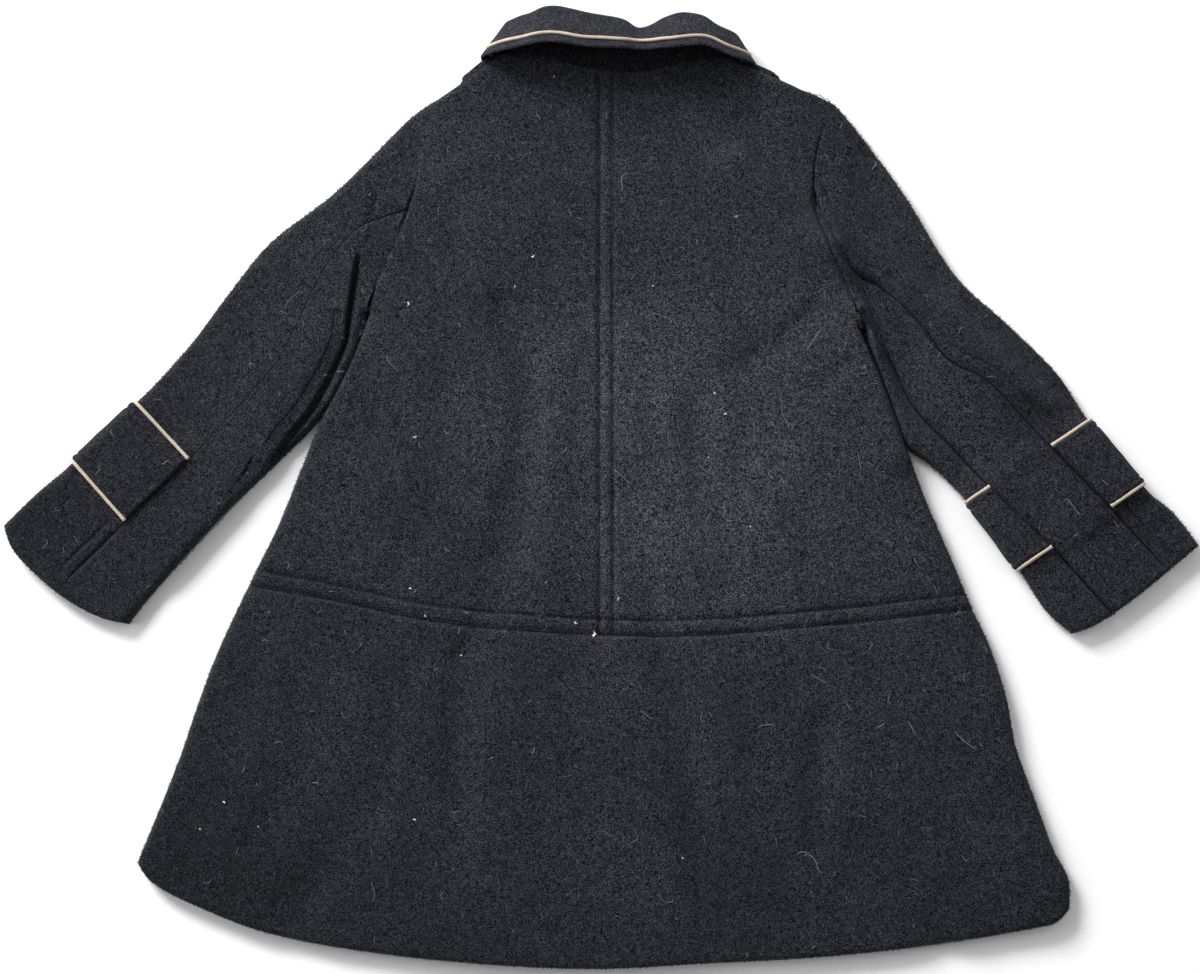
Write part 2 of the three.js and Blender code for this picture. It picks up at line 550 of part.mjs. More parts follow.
// Shares from one place to another, with the closer ones of a rolled edge where an end is 0 or 1.
function across(from, to, count) {
  const start = from === 0 ? turnShares : from === 1 ? backwards : [from];
  const end = to === 0 ? [...turnShares].reverse() : to === 1 ? [...backwards].reverse() : [to];
  const inner = [];
  for (let i = 1; i < count; i++) inner.push(mix(start[start.length - 1], end[0], i / count));
  return [...start, ...inner, ...end];
}

const seamUnder = (row) => mix(FRONT_SEAM_UNDER.cuff, FRONT_SEAM_UNDER.armhole, smooth(5, 8, row));

const onTop = (a) => ({ a, under: false });
const onUnderside = (a) => ({ a, under: true });

// The upper sleeve goes from the back seam over the outer edge and the underside to the front seam.
function upperSleeve(sleeve, rows, gap) {
  const { plan, edges, back, front } = sleeve;
  return rows.map((row) => {
    const path = across(crossing(plan, row, back) - gap, 0, 5).map(onTop);
    if (front) {
      const stop = Math.min(crossing(plan, row, front), FRONT_SEAM_END.upper) + gap;
      path.push(...across(0, 1, 6).slice(1).map(onUnderside));
      path.push(...[0.993, 0.985, mix(0.98, stop, 0.5), stop].map(onTop));
    } else {
      path.push(...across(0, seamUnder(row), 6).slice(1).map(onUnderside));
    }
    return path.map(({ a, under }) => sleevePoint(plan, edges, a, row, under));
  });
}

// The under sleeve lies between the back seam and the front seam.
function underSleeve(sleeve, rows, gap) {
  const { plan, edges, back, front } = sleeve;
  return rows.map((row) => {
    const start = crossing(plan, row, back) + gap;
    if (front) {
      const stop = Math.min(crossing(plan, row, front), FRONT_SEAM_END.under) - gap;
      const path = [0, 0.17, 0.33, 0.5, 0.67, 0.83, 1].map((k) => mix(start, stop, k));
      return path.map((a) => sleevePoint(plan, edges, a, row, false));
    }
    const path = across(start, 1, 7).map(onTop);
    path.push(...[0.993, 0.975, 0.95, seamUnder(row) + 2 * gap].map(onUnderside));
    return path.map(({ a, under }) => sleevePoint(plan, edges, a, row, under));
  });
}

// A length of piping on the upper sleeve, along one row of its table.
function cuffPiping(sleeve, row) {
  const [line, ahead] = upperSleeve(sleeve, [row, row + 0.1], BAND_SEAM_SHARE);
  return tube(line.map((p, i) => {
    const along = ahead[i].outer.clone().sub(p.outer).normalize();
    const center = p.outer.clone().addScaledVector(p.normal, SEAM + CUFF_PIPING);
    return cordRing(center, p.normal, along, CUFF_PIPING);
  }));
}

const SLEEVES = [
  {
    side: "left", edges: leftSleeveEdges,
    plan: sleevePlan(LEFT_SLEEVE, LEFT_CUFF, LEFT_ARMHOLE, -ARMHOLE_GAP),
    back: rolledLine(LEFT_BACK_SEAM),
  },
  {
    side: "right", edges: rightSleeveEdges,
    plan: sleevePlan(RIGHT_SLEEVE, RIGHT_CUFF, RIGHT_ARMHOLE, ARMHOLE_GAP),
    back: rolledLine(RIGHT_BACK_SEAM), front: rolledLine(RIGHT_FRONT_SEAM),
  },
];
for (const sleeve of SLEEVES) {
  add(`sleeve_${sleeve.side}_upper`, wall(upperSleeve(sleeve, SLEEVE_ROWS, SEAM_SHARE), CLOTH));
  add(`sleeve_${sleeve.side}_under`, wall(underSleeve(sleeve, SLEEVE_ROWS, SEAM_SHARE), CLOTH));
  add(`cuff_band_${sleeve.side}`, wall(upperSleeve(sleeve, BAND_ROWS, BAND_SEAM_SHARE), BAND_CLOTH, SEAM));
  add(`cuff_piping_${sleeve.side}_lower`, cuffPiping(sleeve, BAND.low), CREAM, PIPING_ROUGHNESS);
  add(`cuff_piping_${sleeve.side}_upper`, cuffPiping(sleeve, BAND.high), CREAM, PIPING_ROUGHNESS);
}

// The collar: each column of its table, read smoothly between the rows and never past them.
function collarRow(t) {
  const at = t * (COLLAR.length - 1);
  const i = Math.min(Math.floor(at), COLLAR.length - 2);
  const f = at - i;
  const row = {};
  for (const key of Object.keys(COLLAR[0])) {
    const value = (k) => COLLAR[THREE.MathUtils.clamp(i + k, 0, COLLAR.length - 1)][key];
    const [p0, p1, p2, p3] = [-1, 0, 1, 2].map(value);
    const slope = (a, b) => (a * b > 0 ? (2 * a * b) / (a + b) : 0);
    const [m1, m2] = [slope(p1 - p0, p2 - p1), slope(p2 - p1, p3 - p2)];
    row[key] = (2 * f ** 3 - 3 * f ** 2 + 1) * p1 + (f ** 3 - 2 * f ** 2 + f) * m1 +
      (3 * f ** 2 - 2 * f ** 3) * p2 + (f ** 3 - f ** 2) * m2;
  }
  return row;
}

// A place on the neck in plan, from the middle of the front round the back to the middle again.
function neckPoint(at) {
  if (at < 1) return onCurve(frontNeck, FRONT_NECK_END * (1 - at));
  if (at < 2) return onCurve(neck, at - 1);
  return onCurve(frontNeck, 1 - FRONT_NECK_END * (at - 2));
}

// One section of the collar: points on the side that faces the coat, with the way out to the other side.
function collarSection(t) {
  const row = collarRow(t);
  const base = neckPoint(row.at);
  const e1 = new THREE.Vector3(row.toX, row.toY, 0).normalize();
  const outward = new THREE.Vector3(-e1.y, e1.x, 0);
  const angle = THREE.MathUtils.degToRad(row.facing);
  const e2 = outward.multiplyScalar(Math.sin(angle)).add(new THREE.Vector3(0, 0, Math.cos(angle)));
  const gap = mix(CURVED_SEAM, FRONT_NECK_SEAM, Math.abs(row.facing) / 180);
  const origin = new THREE.Vector3(base.x, base.y, row.z).addScaledVector(e1, gap);
  const at = (d, h) => origin.clone().addScaledVector(e1, d).addScaledVector(e2, h);
  const way = (d, h) => e1.clone().multiplyScalar(d).addScaledVector(e2, h);
  const open = THREE.MathUtils.degToRad(row.open);
  const points = [0, 0.35, 0.7, 1].map((k) => ({ outer: at(k * row.stand, 0), normal: way(0, -1) }));
  const stop = Math.PI / 2 - open;
  for (const k of [0.25, 0.5, 0.75, 1]) {
    const turn = mix(-Math.PI / 2, stop, k);
    const [c, s] = [Math.cos(turn), Math.sin(turn)];
    points.push({ outer: at(row.stand + row.roll * c, row.roll + row.roll * s), normal: way(c, s) });
  }
  const end = points[points.length - 1];
  const along = way(-Math.cos(open), Math.sin(open));
  const fallPoint = (d) => ({ outer: end.outer.clone().addScaledVector(along, d), normal: end.normal });
  const seamAt = row.fall - COLLAR_EDGE;
  for (const k of [0.33, 0.66, 1]) points.push(fallPoint(k * (seamAt - COLLAR_GROOVE)));
  const edge = [0, 0.5, 1].map((k) => fallPoint(mix(seamAt + COLLAR_GROOVE, row.fall, k)));
  const seam = fallPoint(seamAt);
  return { points, edge, seam, along, proud: row.proud };
}

const COLLAR_SECTIONS = 42;
const sections = Array.from({ length: COLLAR_SECTIONS + 1 }, (_, i) => collarSection(i / COLLAR_SECTIONS));
add("collar", wall(sections.map((s) => s.points), CLOTH, 0));
add("collar_edge", wall(sections.map((s) => s.edge), CLOTH, 0));
const collarRings = sections.map(({ seam, along, proud }) => {
  const center = seam.outer.clone().addScaledVector(seam.normal, proud);
  return cordRing(center, seam.normal, along, COLLAR_PIPING);
});
add("collar_piping", tube(collarRings), CREAM, PIPING_ROUGHNESS);

export default coat;
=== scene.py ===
import math

import bmesh
import bpy
import numpy as np
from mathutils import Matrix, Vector, noise
from mathutils.bvhtree import BVHTree


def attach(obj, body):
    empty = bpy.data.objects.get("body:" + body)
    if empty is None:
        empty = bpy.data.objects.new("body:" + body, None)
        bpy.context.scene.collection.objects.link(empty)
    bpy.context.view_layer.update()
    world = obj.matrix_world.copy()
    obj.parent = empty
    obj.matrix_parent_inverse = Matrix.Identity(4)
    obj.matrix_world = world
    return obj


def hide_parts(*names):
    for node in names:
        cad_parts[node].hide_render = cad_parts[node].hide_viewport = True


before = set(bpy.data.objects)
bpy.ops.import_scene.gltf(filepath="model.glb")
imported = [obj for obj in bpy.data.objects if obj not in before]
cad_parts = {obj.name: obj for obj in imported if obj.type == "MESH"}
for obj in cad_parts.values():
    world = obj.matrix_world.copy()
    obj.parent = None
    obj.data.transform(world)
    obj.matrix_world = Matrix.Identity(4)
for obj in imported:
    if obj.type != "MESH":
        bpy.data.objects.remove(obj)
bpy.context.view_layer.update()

scene = bpy.context.scene

# The surface: a plain white board that the coat is laid out on, face down.
# It is lit from the collar's side and from the wearer's left by two large soft lights.
FLOOR_SIZE, FLOOR_DROP = 40.0, -0.0002  # metres
WHITE_BOARD = (0.94, 0.94, 0.94, 1)
LIGHTS = [
    {"name": "light_collar_side", "at": (-1.9, 2.2, 1.75), "size": 1.3, "watts": 165},
    {"name": "light_left", "at": (-2.2, 0.1, 1.1), "size": 1.4, "watts": 20},
    {"name": "light_right", "at": (1.9, 0.5, 2.1), "size": 2.0, "watts": 10},
]
ROOM_LIGHT = 0.55


def placed(name, data):
    """An object at the origin that shows a mesh, a lamp or a camera."""
    made = bpy.data.objects.new(name, data)
    scene.collection.objects.link(made)
    return made


def finished(bm, name, *materials):
    """The object of a finished bmesh."""
    mesh = bpy.data.meshes.new(name)
    bm.to_mesh(mesh)
    bm.free()
    for material in materials:
        mesh.materials.append(material)
    return placed(name, mesh)


def set_inputs(tree, made, values):
    """Gives a node's named inputs their constants, or links them to other nodes' outputs."""
    for key, value in values.items():
        if isinstance(value, bpy.types.NodeSocket):
            tree.links.new(value, made.inputs[key])
        else:
            made.inputs[key].default_value = value


def node(tree, kind, values, **settings):
    made = tree.nodes.new(f"ShaderNode{kind}")
    for key, value in settings.items():
        setattr(made, key, value)
    set_inputs(tree, made, values)
    return made


def new_material(name, values):
    material = bpy.data.materials.new(name)
    material.use_nodes = True
    tree = material.node_tree
    shader = tree.nodes["Principled BSDF"]
    set_inputs(tree, shader, values)
    return material, tree, shader


def plain_material(name, color, roughness):
    return new_material(name, {"Base Color": color, "Roughness": roughness})[0]


floor_mesh = bmesh.new()
bmesh.ops.create_grid(floor_mesh, x_segments=1, y_segments=1, size=FLOOR_SIZE / 2)
floor = finished(floor_mesh, "floor", plain_material("white_board", WHITE_BOARD, 0.9))
floor.location.z = FLOOR_DROP

for light in LIGHTS:
    data = bpy.data.lights.new(light["name"], "AREA")
    data.size = light["size"]
    data.energy = light["watts"]
    lamp = placed(light["name"], data)
    lamp.location = light["at"]
    lamp.rotation_euler = (-Vector(light["at"])).to_track_quat("-Z", "Y").to_euler()

world = bpy.data.worlds.new("room")
world.use_nodes = True
tree = world.node_tree
sky = tree.nodes["Background"]
way = node(tree, "TexCoord", {}).outputs["Generated"]
height = node(tree, "SeparateXYZ", {"Vector": way}).outputs["Y"]
shade = node(tree, "MapRange", {"From Min": -0.9, "From Max": 0.7, "To Min": 0.3, "Value": height})
set_inputs(tree, sky, {"Strength": ROOM_LIGHT, "Color": shade.outputs["Result"]})  # darker on the hem's side
scene.world = world
scene.view_settings.view_transform = "Standard"

# The camera looks down at the laid-out coat from just short of straight above, on the hem's side.
# One pixel of the photograph is 0.62 mm at the surface, two metres away.
PIXEL = 0.62
PHOTO_WIDTH = 1200
CAMERA_FAR = 2000.0
CAMERA_ELEVATION = math.radians(82)
SENSOR = 36
MIDDLE = (0.8, 2.6)  # from the outlines' own zero to the part's origin, in mm
MM = 0.001
ORIGIN = np.array([*MIDDLE, 0])

camera_data = bpy.data.cameras.new("camera")
camera_data.sensor_width = SENSOR
camera_data.lens = SENSOR * CAMERA_FAR / (PHOTO_WIDTH * PIXEL)
camera = placed("camera", camera_data)
camera.location = (
    -MIDDLE[0] * MM,
    (-MIDDLE[1] - CAMERA_FAR * math.cos(CAMERA_ELEVATION)) * MM,
    CAMERA_FAR * math.sin(CAMERA_ELEVATION) * MM,
)
camera.rotation_euler = (math.pi / 2 - CAMERA_ELEVATION, 0, 0)
scene.camera = camera

# The upper back: two panels of thick napped fleece, seamed down the middle and topstitched beside it.
# They lie over the fronts, rolled down at the side seams and the shoulders, with soft folds on top.
# Outlines are in mm in plan, as the coat lies; each line of a table runs up or away from the middle.
CLOTH = 3.0
SEAM = 0.3
ARM_SEAM = 0.03
LOFT = 10.4
LAP_RISE = 3.0
ROLL = 4.8
ROLL_LEVEL = 4.8
COLLAR_LIFT = CLOTH + 2 * SEAM
LAP = {"left": -48, "right": 62, "soft": 26}

LEFT_SIDE_SKIRT = [(-281, -231), (-266, -193), (-255, -163), (-245, -132), (-234, -102), (-216, -62)]
RIGHT_SIDE_SKIRT = [
    (285, -258), (284.5, -241), (276, -224), (265, -193), (254, -161), (249, -132), (240, -102), (229, -77),
]
HEM = [
    (-281, -231), (-272, -243), (-248, -256), (-200, -274), (-133, -286), (-60, -293), (0, -295),
    (60, -292), (133, -288), (200, -281), (262, -271), (277, -267), (285, -258),
]
WAIST = [
    (-216, -62), (-162, -72), (-105, -84), (-52, -90), (0, -93), (55, -93.5), (111, -89.5), (166, -84), (229, -77),
]
LEFT_SIDE = [(-216, -62), (-198, -24), (-186, 7), (-174, 38), (-164, 58), (-152.5, 83), (-144, 107)]
RIGHT_SIDE = [(229, -77), (214, -40), (201, -9), (189.6, 24), (182, 47), (173, 72), (162, 98)]
LEFT_ARMHOLE = [(-119, 233), (-115, 212), (-114, 194), (-119, 176), (-128, 152), (-137, 133), (-147, 107)]
RIGHT_ARMHOLE = [(148, 241), (138, 221), (133, 200), (135, 172), (144, 145), (155, 121), (164, 98)]
LEFT_SHOULDER = [(-67, 270), (-88, 254), (-101, 245), (-119, 233)]
RIGHT_SHOULDER = [(90, 267), (113, 257), (126, 251), (148, 241)]
BACK_NECK = [
    (-67, 270), (-50, 273), (-30, 270), (-15, 265.5), (0, 262.5), (25, 260.5), (50, 266.5), (66, 270), (78, 268.5),
    (90, 267),
]
FRONT_NECK = [(-67, 270), (-57, 238), (-35, 212), (12, 203), (60, 212), (82, 238), (90, 267)]

# Folds of the upper side: a line through three points, how high it stands, and how far it reaches to its left
# and to its right.
FOLDS = [
    ([(-60, 110), (-43, 46), (-78, -108)], -2.4, 12, 9),
    ([(-30, 70), (-28, 0), (-34, -60)], 1.6, 16, 14),
    ([(61, 50), (68, -14), (78, -60)], -2, 9, 10),
    ([(134, 110), (112, 90), (93, 76)], -1.5, 9, 9),
    ([(123, -22), (167, -93), (238, -202)], -2.4, 16, 13),
    ([(15, -10), (41, -108), (71, -281)], -2, 10, 10),
    ([(-78, -108), (-84, -150), (-86, -190)], -2, 14, 10),
    ([(134, -150), (133, -185), (132, -221)], -1.8, 9, 9),
    ([(160, -221), (182, -250), (205, -276)], -2, 11, 11),
    ([(-149, -206), (-166, -232), (-186, -262)], -2, 15, 15),
    ([(89, 203), (118, 176), (143, 148)], 3.2, 9, 16),
    ([(143, 148), (158, 110), (186, 20)], 2.6, 9, 14),
    ([(92, 228), (112, 195), (124, 172)], -2.3, 12, 9),
    ([(-67, 211), (-90, 196), (-112, 184)], 1.6, 12, 12),
    ([(-148, 160), (-166, 100), (-212, 22)], 1.1, 8, 26),
    ([(180, 134), (208, 104), (258, 60)], 2.6, 20, 12),
    ([(174, 122), (183, 95), (196, 54)], -2.4, 9, 9),
]
# Finer creases, too small for the part's solids.
CREASES = [
    ([(169, 205), (182, 159), (207, 130)], -1.8, 12, 12),
    ([(250, 102), (271, 80), (296, 47)], -1.7, 10, 12),
    ([(196, 126), (238, 83), (274, 49)], 1.5, 9, 9),
    ([(-54, 267), (-23, 257.9), (3, 250.5)], -0.55, 2.6, 2.6),
    ([(3, 250.5), (27, 248.5), (54, 255)], -0.3, 2.8, 2.8),
    ([(60, 34), (67, 0), (77, -40)], -0.8, 3.5, 6),
    ([(-12, 54), (-14, 30), (-15, 6)], -0.4, 3, 3.5),
    ([(-45, 62), (-28, 50), (-10, 40)], -0.9, 4, 5),
    ([(-44, 38), (-30, 24), (-18, 18)], -0.7, 4, 4),
    ([(96, 84), (106, 70), (120, 62)], -0.8, 4, 5),
    ([(126, 60), (142, 66), (156, 78)], -0.8, 4, 5),
    ([(-96, 60), (-104, 0), (-122, -60)], -0.7, 10, 12),
    ([(-118, -110), (-130, -170), (-140, -230)], -0.7, 9, 12),
    ([(24, 120), (30, 70), (32, 10)], -0.6, 8, 9),
    ([(-18, -120), (-12, -180), (2, -240)], -0.8, 9, 9),
    ([(186, -120), (204, -168), (232, -240)], -0.8, 8, 10),
    ([(70, -120), (82, -180), (96, -250)], 0.8, 10, 10),
    ([(-196, -120), (-206, -170), (-224, -222)], 0.8, 12, 12),
    ([(184, 84), (193, 54), (226, 14)], -3.4, 6, 3.2),
    ([(166, 128), (177, 106), (186, 80)], -2.4, 8, 8),
    ([(163, 110), (167, 98), (171, 86)], 1.6, 5, 4),
]


def smooth(low, high, x):
    t = np.clip((x - low) / (high - low), 0, 1)
    return t * t * (3 - 2 * t)


def catmull(points, t):
    """The smooth line through points, at t counted in points."""
    p = np.asarray(points, float)
    last = len(p) - 1
    t = np.clip(np.asarray(t, float), 0, last)
    i = np.minimum(t.astype(int), last - 1)
    f = (t - i)[..., None]
    p0, p1, p2, p3 = p[np.maximum(i - 1, 0)], p[i], p[i + 1], p[np.minimum(i + 2, last)]
    v0, v1 = (p2 - p0) / 2, (p3 - p1) / 2
    return (2 * p1 - 2 * p2 + v0 + v1) * f**3 + (-3 * p1 + 3 * p2 - 2 * v0 - v1) * f**2 + v0 * f + p1


def line_through(points):
    return catmull(points, np.linspace(0, len(points) - 1, 12 * (len(points) - 1) + 1))


def along(line, share):
    """Points of a line at shares of its length."""
    far = np.concatenate([[0], np.cumsum(np.hypot(*np.diff(line, axis=0).T))])
    share = np.asarray(share, float)
    return np.stack([np.interp(share * far[-1], far, line[:, k]) for k in (0, 1)], -1)


def length_of(line):
    return float(np.hypot(*np.diff(line, axis=0).T).sum())


def piece_of(line, start, stop):
    return along(line, np.linspace(start, stop, 97))


def share_at(line, x):
    shares = np.linspace(0, 1, 801)
    return shares[np.argmin(np.abs(along(line, shares)[:, 0] - x))]


def nearest(line, x, y):
    """How far each place is from a line, which side of it, and how far along it."""
    best = np.full(np.shape(x), 1e9)
    side = np.zeros_like(best)
    run = np.zeros_like(best)
    gone = 0.0
    for a, b in zip(line[:-1], line[1:]):
        d = b - a
        size = math.hypot(*d) or 1e-9
        t = np.clip(((x - a[0]) * d[0] + (y - a[1]) * d[1]) / size**2, 0, 1)
        far = np.hypot(x - a[0] - t * d[0], y - a[1] - t * d[1])
        closer = far < best
        best = np.where(closer, far, best)
        side = np.where(closer, np.sign(d[0] * (y - a[1]) - d[1] * (x - a[0])), side)
        run = np.where(closer, gone + t * size, run)
        gone += size
    return best, side, run


fold_lines = [(catmull(line, np.linspace(0, 2, 15)), *rest) for line, *rest in FOLDS + CREASES]
FOLD_DEPTH = 2.1  # how much deeper the cloth's folds are than the plain solids'


def lap_share(x):
    """1 where the left front lies on the right one, with soft slopes beside it."""
    rise = smooth(LAP["left"] - 20 - LAP["soft"], LAP["left"] - 20, x)
    return rise * (1 - smooth(LAP["right"] + 4, LAP["right"] + 4 + LAP["soft"], x))


def lap_level(x):
    return (CLOTH + 2 * SEAM) * lap_share(x)


def neck_lift(x, y):
    """How far the front collar, folded under, lifts the neck."""
    return COLLAR_LIFT * smooth(110, 170, y) * (1 - smooth(106, 132, np.abs(x - 12.5)))


def waves(x, y, wavelength):
    """Slow unevenness of cloth that has been worn and laid down again."""
    flat = [noise.noise((a / wavelength, b / wavelength, 0.37)) for a, b in zip(x.ravel(), y.ravel())]
    return np.array(flat).reshape(x.shape)


def top_height(x, y):
    z = LOFT + LAP_RISE * lap_share(x) * (1 - smooth(185, 215, y))
    for line, rise, left, right in fold_lines:
        far, side, _ = nearest(line, x, y)
        z = z + groove(far, FOLD_DEPTH * rise, np.where(side > 0, left, right))
    z = z + 0.9 * waves(x, y, 34) + 0.45 * waves(x + 90, y, 13)
    return np.maximum(z, 2 * CLOTH + 2 * SEAM + lap_level(x))


def lay(x, y, upper, edges, lift, top, bottom, split):
    """Height of a panel: it rolls down, or up, to the middle of the coat's thickness at an edge."""
    far = np.full(np.shape(x), 1e9)
    for line in edges:
        far = np.minimum(far, nearest(line, x, y)[0])
    cos = np.clip(1 - far / ROLL, 0, 1)
    level = ROLL_LEVEL + lap_level(x) / 2 + lift + np.where(upper, split, -split)
    return level + (np.where(upper, top, bottom) + lift - level) * np.sqrt(1 - cos**2)


def patch(low, high, start, end, u, v):
    """A plan between four lines: u runs along low and high, v along start and end."""
    u, v = np.asarray(u, float), np.asarray(v, float)
    l, h = along(low, u)[None], along(high, u)[None]
    s, e = along(start, v)[:, None], along(end, v)[:, None]
    U, V = u[None, :, None], v[:, None, None]
    corners = (low[0] * (1 - U) + low[-1] * U) * (1 - V) + (high[0] * (1 - U) + high[-1] * U) * V
    return l * (1 - V) + h * V + s * (1 - U) + e * U - corners


NEAR_SEAM = [0, 0.35, 0.8, 1.4, 2.1, 3.0, 4.0]  # mm: closer rows of a panel beside a seam
NEAR_STITCH = [4.9, 5.7, 6.3, 7.0, 7.6, 8.2, 8.8, 9.4, 10.1, 11.0]  # mm: and beside its topstitching
NEAR_ROLL = [0, 0.1, 0.4, 0.9, 1.5, 2.3, 3.2, 4.1, 5.2]


def steps(length, start, end, pitch):
    """Shares from 0 to 1 at about pitch, with the given closer ones, in mm, at each end."""
    first, last = np.array(start, float), length - np.array(end, float)[::-1]
    count = max(1, round((last[0] - first[-1]) / pitch))
    middle = np.linspace(first[-1], last[0], count + 1)[1:-1]
    return np.concatenate([first, middle, last]) / length


def groove(far, depth, reach):
    return depth * np.exp(-((far / reach) ** 2))


THINNED = 0.45  # share of the cloth's thickness that is pressed away at a seam


def sew_in(x, y, z, seams, sign):
    """Sinks the cloth into its seams and topstitching. Gives the height and how full the cloth stays."""
    full = np.ones_like(z)
    for seam in seams:
        far, _, run = nearest(seam["line"], x, y)
        shown = np.interp(run / length_of(seam["line"]), *seam.get("shows", ((0, 1), (1, 1))))
        near = groove(far, shown, seam["reach"])
        z = z - sign * seam["sink"] * near
        full = np.minimum(full, 1 - THINNED * near)
    return z, full


def cloth_piece(name, points, full, outward, thickness, *materials):
    """A wall of cloth: a grid shaped to its outer side, and a Solidify that gives it its thickness.

    A second material is for its inner side.
    """
    rows, columns = points.shape[:2]
    bm = bmesh.new()
    bmesh.ops.create_grid(bm, x_segments=columns - 1, y_segments=rows - 1, size=1)
    bm.verts.ensure_lookup_table()
    for vert, place in zip(bm.verts, (points - ORIGIN).reshape(-1, 3) * MM):
        vert.co = place
    bm.normal_update()
    ways = np.broadcast_to(np.asarray(outward, float), points.shape).reshape(-1, 3)
    if sum(v.normal.dot(way) for v, way in zip(bm.verts, ways)) < 0:
        bmesh.ops.reverse_faces(bm, faces=bm.faces)
    for face in bm.faces:
        face.smooth = True
    piece = finished(bm, name, *materials)
    group = piece.vertex_groups.new(name="fullness")
    for i, weight in enumerate(full.ravel()):
        group.add([i], float(weight), "REPLACE")
    solidify = piece.modifiers.new("thickness", "SOLIDIFY")
    solidify.thickness = thickness * MM
    solidify.offset = -1
    solidify.use_rim = True
    solidify.vertex_group = "fullness"
    solidify.material_offset = len(materials) - 1
    return piece


def stand_for(piece, node_name):
    """Puts a piece in the place of a solid of the part."""
    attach(piece, "root")
    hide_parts(node_name)


def declare(piece, node_name, points, width, length, rests_on):
    """Puts the piece of cloth in the place of a solid. Its flat size in mm is not used."""
    stand_for(piece, node_name)


def grays(*stops):
    return [(position, (level, level, level, 1)) for position, level in stops]


def ramp(tree, value, stops):
    made = node(tree, "ValToRGB", {"Fac": value})
    elements = made.color_ramp.elements
    elements[0].position, elements[0].color = stops[0]
    elements[1].position, elements[1].color = stops[-1]
    for position, color in stops[1:-1]:
        elements.new(position).color = color
    return made.outputs["Color"]


def blend(tree, kind, amount, first, second):
    return node(tree, "Mix", {0: amount, 6: first, 7: second}, data_type="RGBA", blend_type=kind).outputs[2]


def bumped(tree, shader, height, strength, depth):
    bump = node(tree, "Bump", {"Strength": strength, "Distance": depth, "Height": height})
    set_inputs(tree, shader, {"Normal": bump.outputs["Normal"]})


PAINTED_LIGHT_CENTER, PAINTED_LIGHT_REACH = (0.055, 0.03, 0), 0.4  # metres: the middle of a pool of light painted into the cloth's colour, and how far it fades from there
# Painted light: the cloth's colour darkens with distance from that middle, standing in for the lamps' falloff towards
# the sides and the hem.
PAINTED_LIGHT_FALLOFF = [
    *grays((0.08, 1), (0.16, 0.95), (0.27, 0.75), (0.4, 0.58), (0.5, 0.53)),
    (0.7, (0.48, 0.48, 0.485, 1)), (1, (0.3, 0.3, 0.305, 1)),
]
# The nap's own uneven tone from dark to light, with painted shade where its bump lies low.
NAP_TONE_AND_SHADE = [(0.43, (0.0006, 0.0006, 0.0014)), (0.50, (0.0068, 0.0071, 0.0115)), (0.575, (0.155, 0.158, 0.203))]
PALE_FIBRE = (0.13, 0.135, 0.15, 1)
FLEECE_SHADER = {
    "Roughness": 0.92, "Specular IOR Level": 0.1, "Sheen Weight": 0.05, "Sheen Roughness": 0.55,
    "Sheen Tint": (0.55, 0.6, 0.72, 1),
}


def fleece_material(name, shade):
    """Dyed wool fleece: a short matted nap in clumps of one to three millimetres, with paler fibre ends, painted
    shade in the nap's hollows and a broad painted pool of light.
    """
    material, tree, shader = new_material(name, FLEECE_SHADER)
    place = node(tree, "TexCoord", {}).outputs["Object"]

    def texture(scale, detail, rough, distortion=0.0):
        values = {"Vector": place, "Scale": scale, "Detail": detail, "Roughness": rough, "Distortion": distortion}
        return node(tree, "TexNoise", values).outputs["Fac"]

    # The clumps and fibres also give the bump; their ramps darken the colour where it lies low, painting shade into
    # the nap's hollows.
    clumps = texture(700, 2, 0.6, 2.4)
    fibres = texture(1400, 2, 0.6, 1.6)
    tips = texture(900, 0, 0.5, 3.0)
    patches = texture(15, 3, 0.55)
    nap = ramp(tree, clumps, [(at, (*(shade * part for part in color), 1)) for at, color in NAP_TONE_AND_SHADE])
    # Painted light: a broad pool of light painted into the colour, darker the farther a place is from its middle.
    far = node(tree, "VectorMath", {0: place, 1: PAINTED_LIGHT_CENTER}, operation="DISTANCE").outputs["Value"]
    share = node(tree, "Math", {0: far, 1: 1 / PAINTED_LIGHT_REACH}, operation="MULTIPLY").outputs["Value"]
    fine = ramp(tree, fibres, [(0.34, (0.4, 0.4, 0.42, 1)), (0.68, (1.75, 1.75, 1.7, 1))])
    worn = ramp(tree, patches, [(0.35, (0.84, 0.84, 0.85, 1)), (0.65, (1.14, 1.14, 1.13, 1))])
    cloth = nap
    for layer in (fine, worn, ramp(tree, share, PAINTED_LIGHT_FALLOFF)):
        cloth = blend(tree, "MULTIPLY", 1.0, cloth, layer)
    pale = ramp(tree, tips, grays((0.72, 0), (0.80, 1)))
    set_inputs(tree, shader, {"Base Color": blend(tree, "MIX", pale, cloth, PALE_FIBRE)})
    bumped(tree, shader, blend(tree, "MIX", 0.45, clumps, fibres), 0.9, 0.0016)
    return material


fleece = fleece_material("fleece", 0.77)

hem_line, waist_line = line_through(HEM), line_through(WAIST)
neck_line, front_neck_line = line_through(BACK_NECK), line_through(FRONT_NECK)
waist_under = waist_line - np.array([0, SEAM])


def side_lines(skirt, side, armhole, inward):
    """One line up the side, cut at the waist and at the underarm: the skirt's, the bodice's and the rolled one."""
    whole = line_through(skirt + side[1:] + [(x + inward, y) for x, y in armhole[::-1][1:]])
    waist, underarm = 12 * (len(skirt) - 1), 12 * (len(skirt) + len(side) - 2)
    return whole[: waist + 1].copy(), whole[waist:], whole[: underarm + 1]


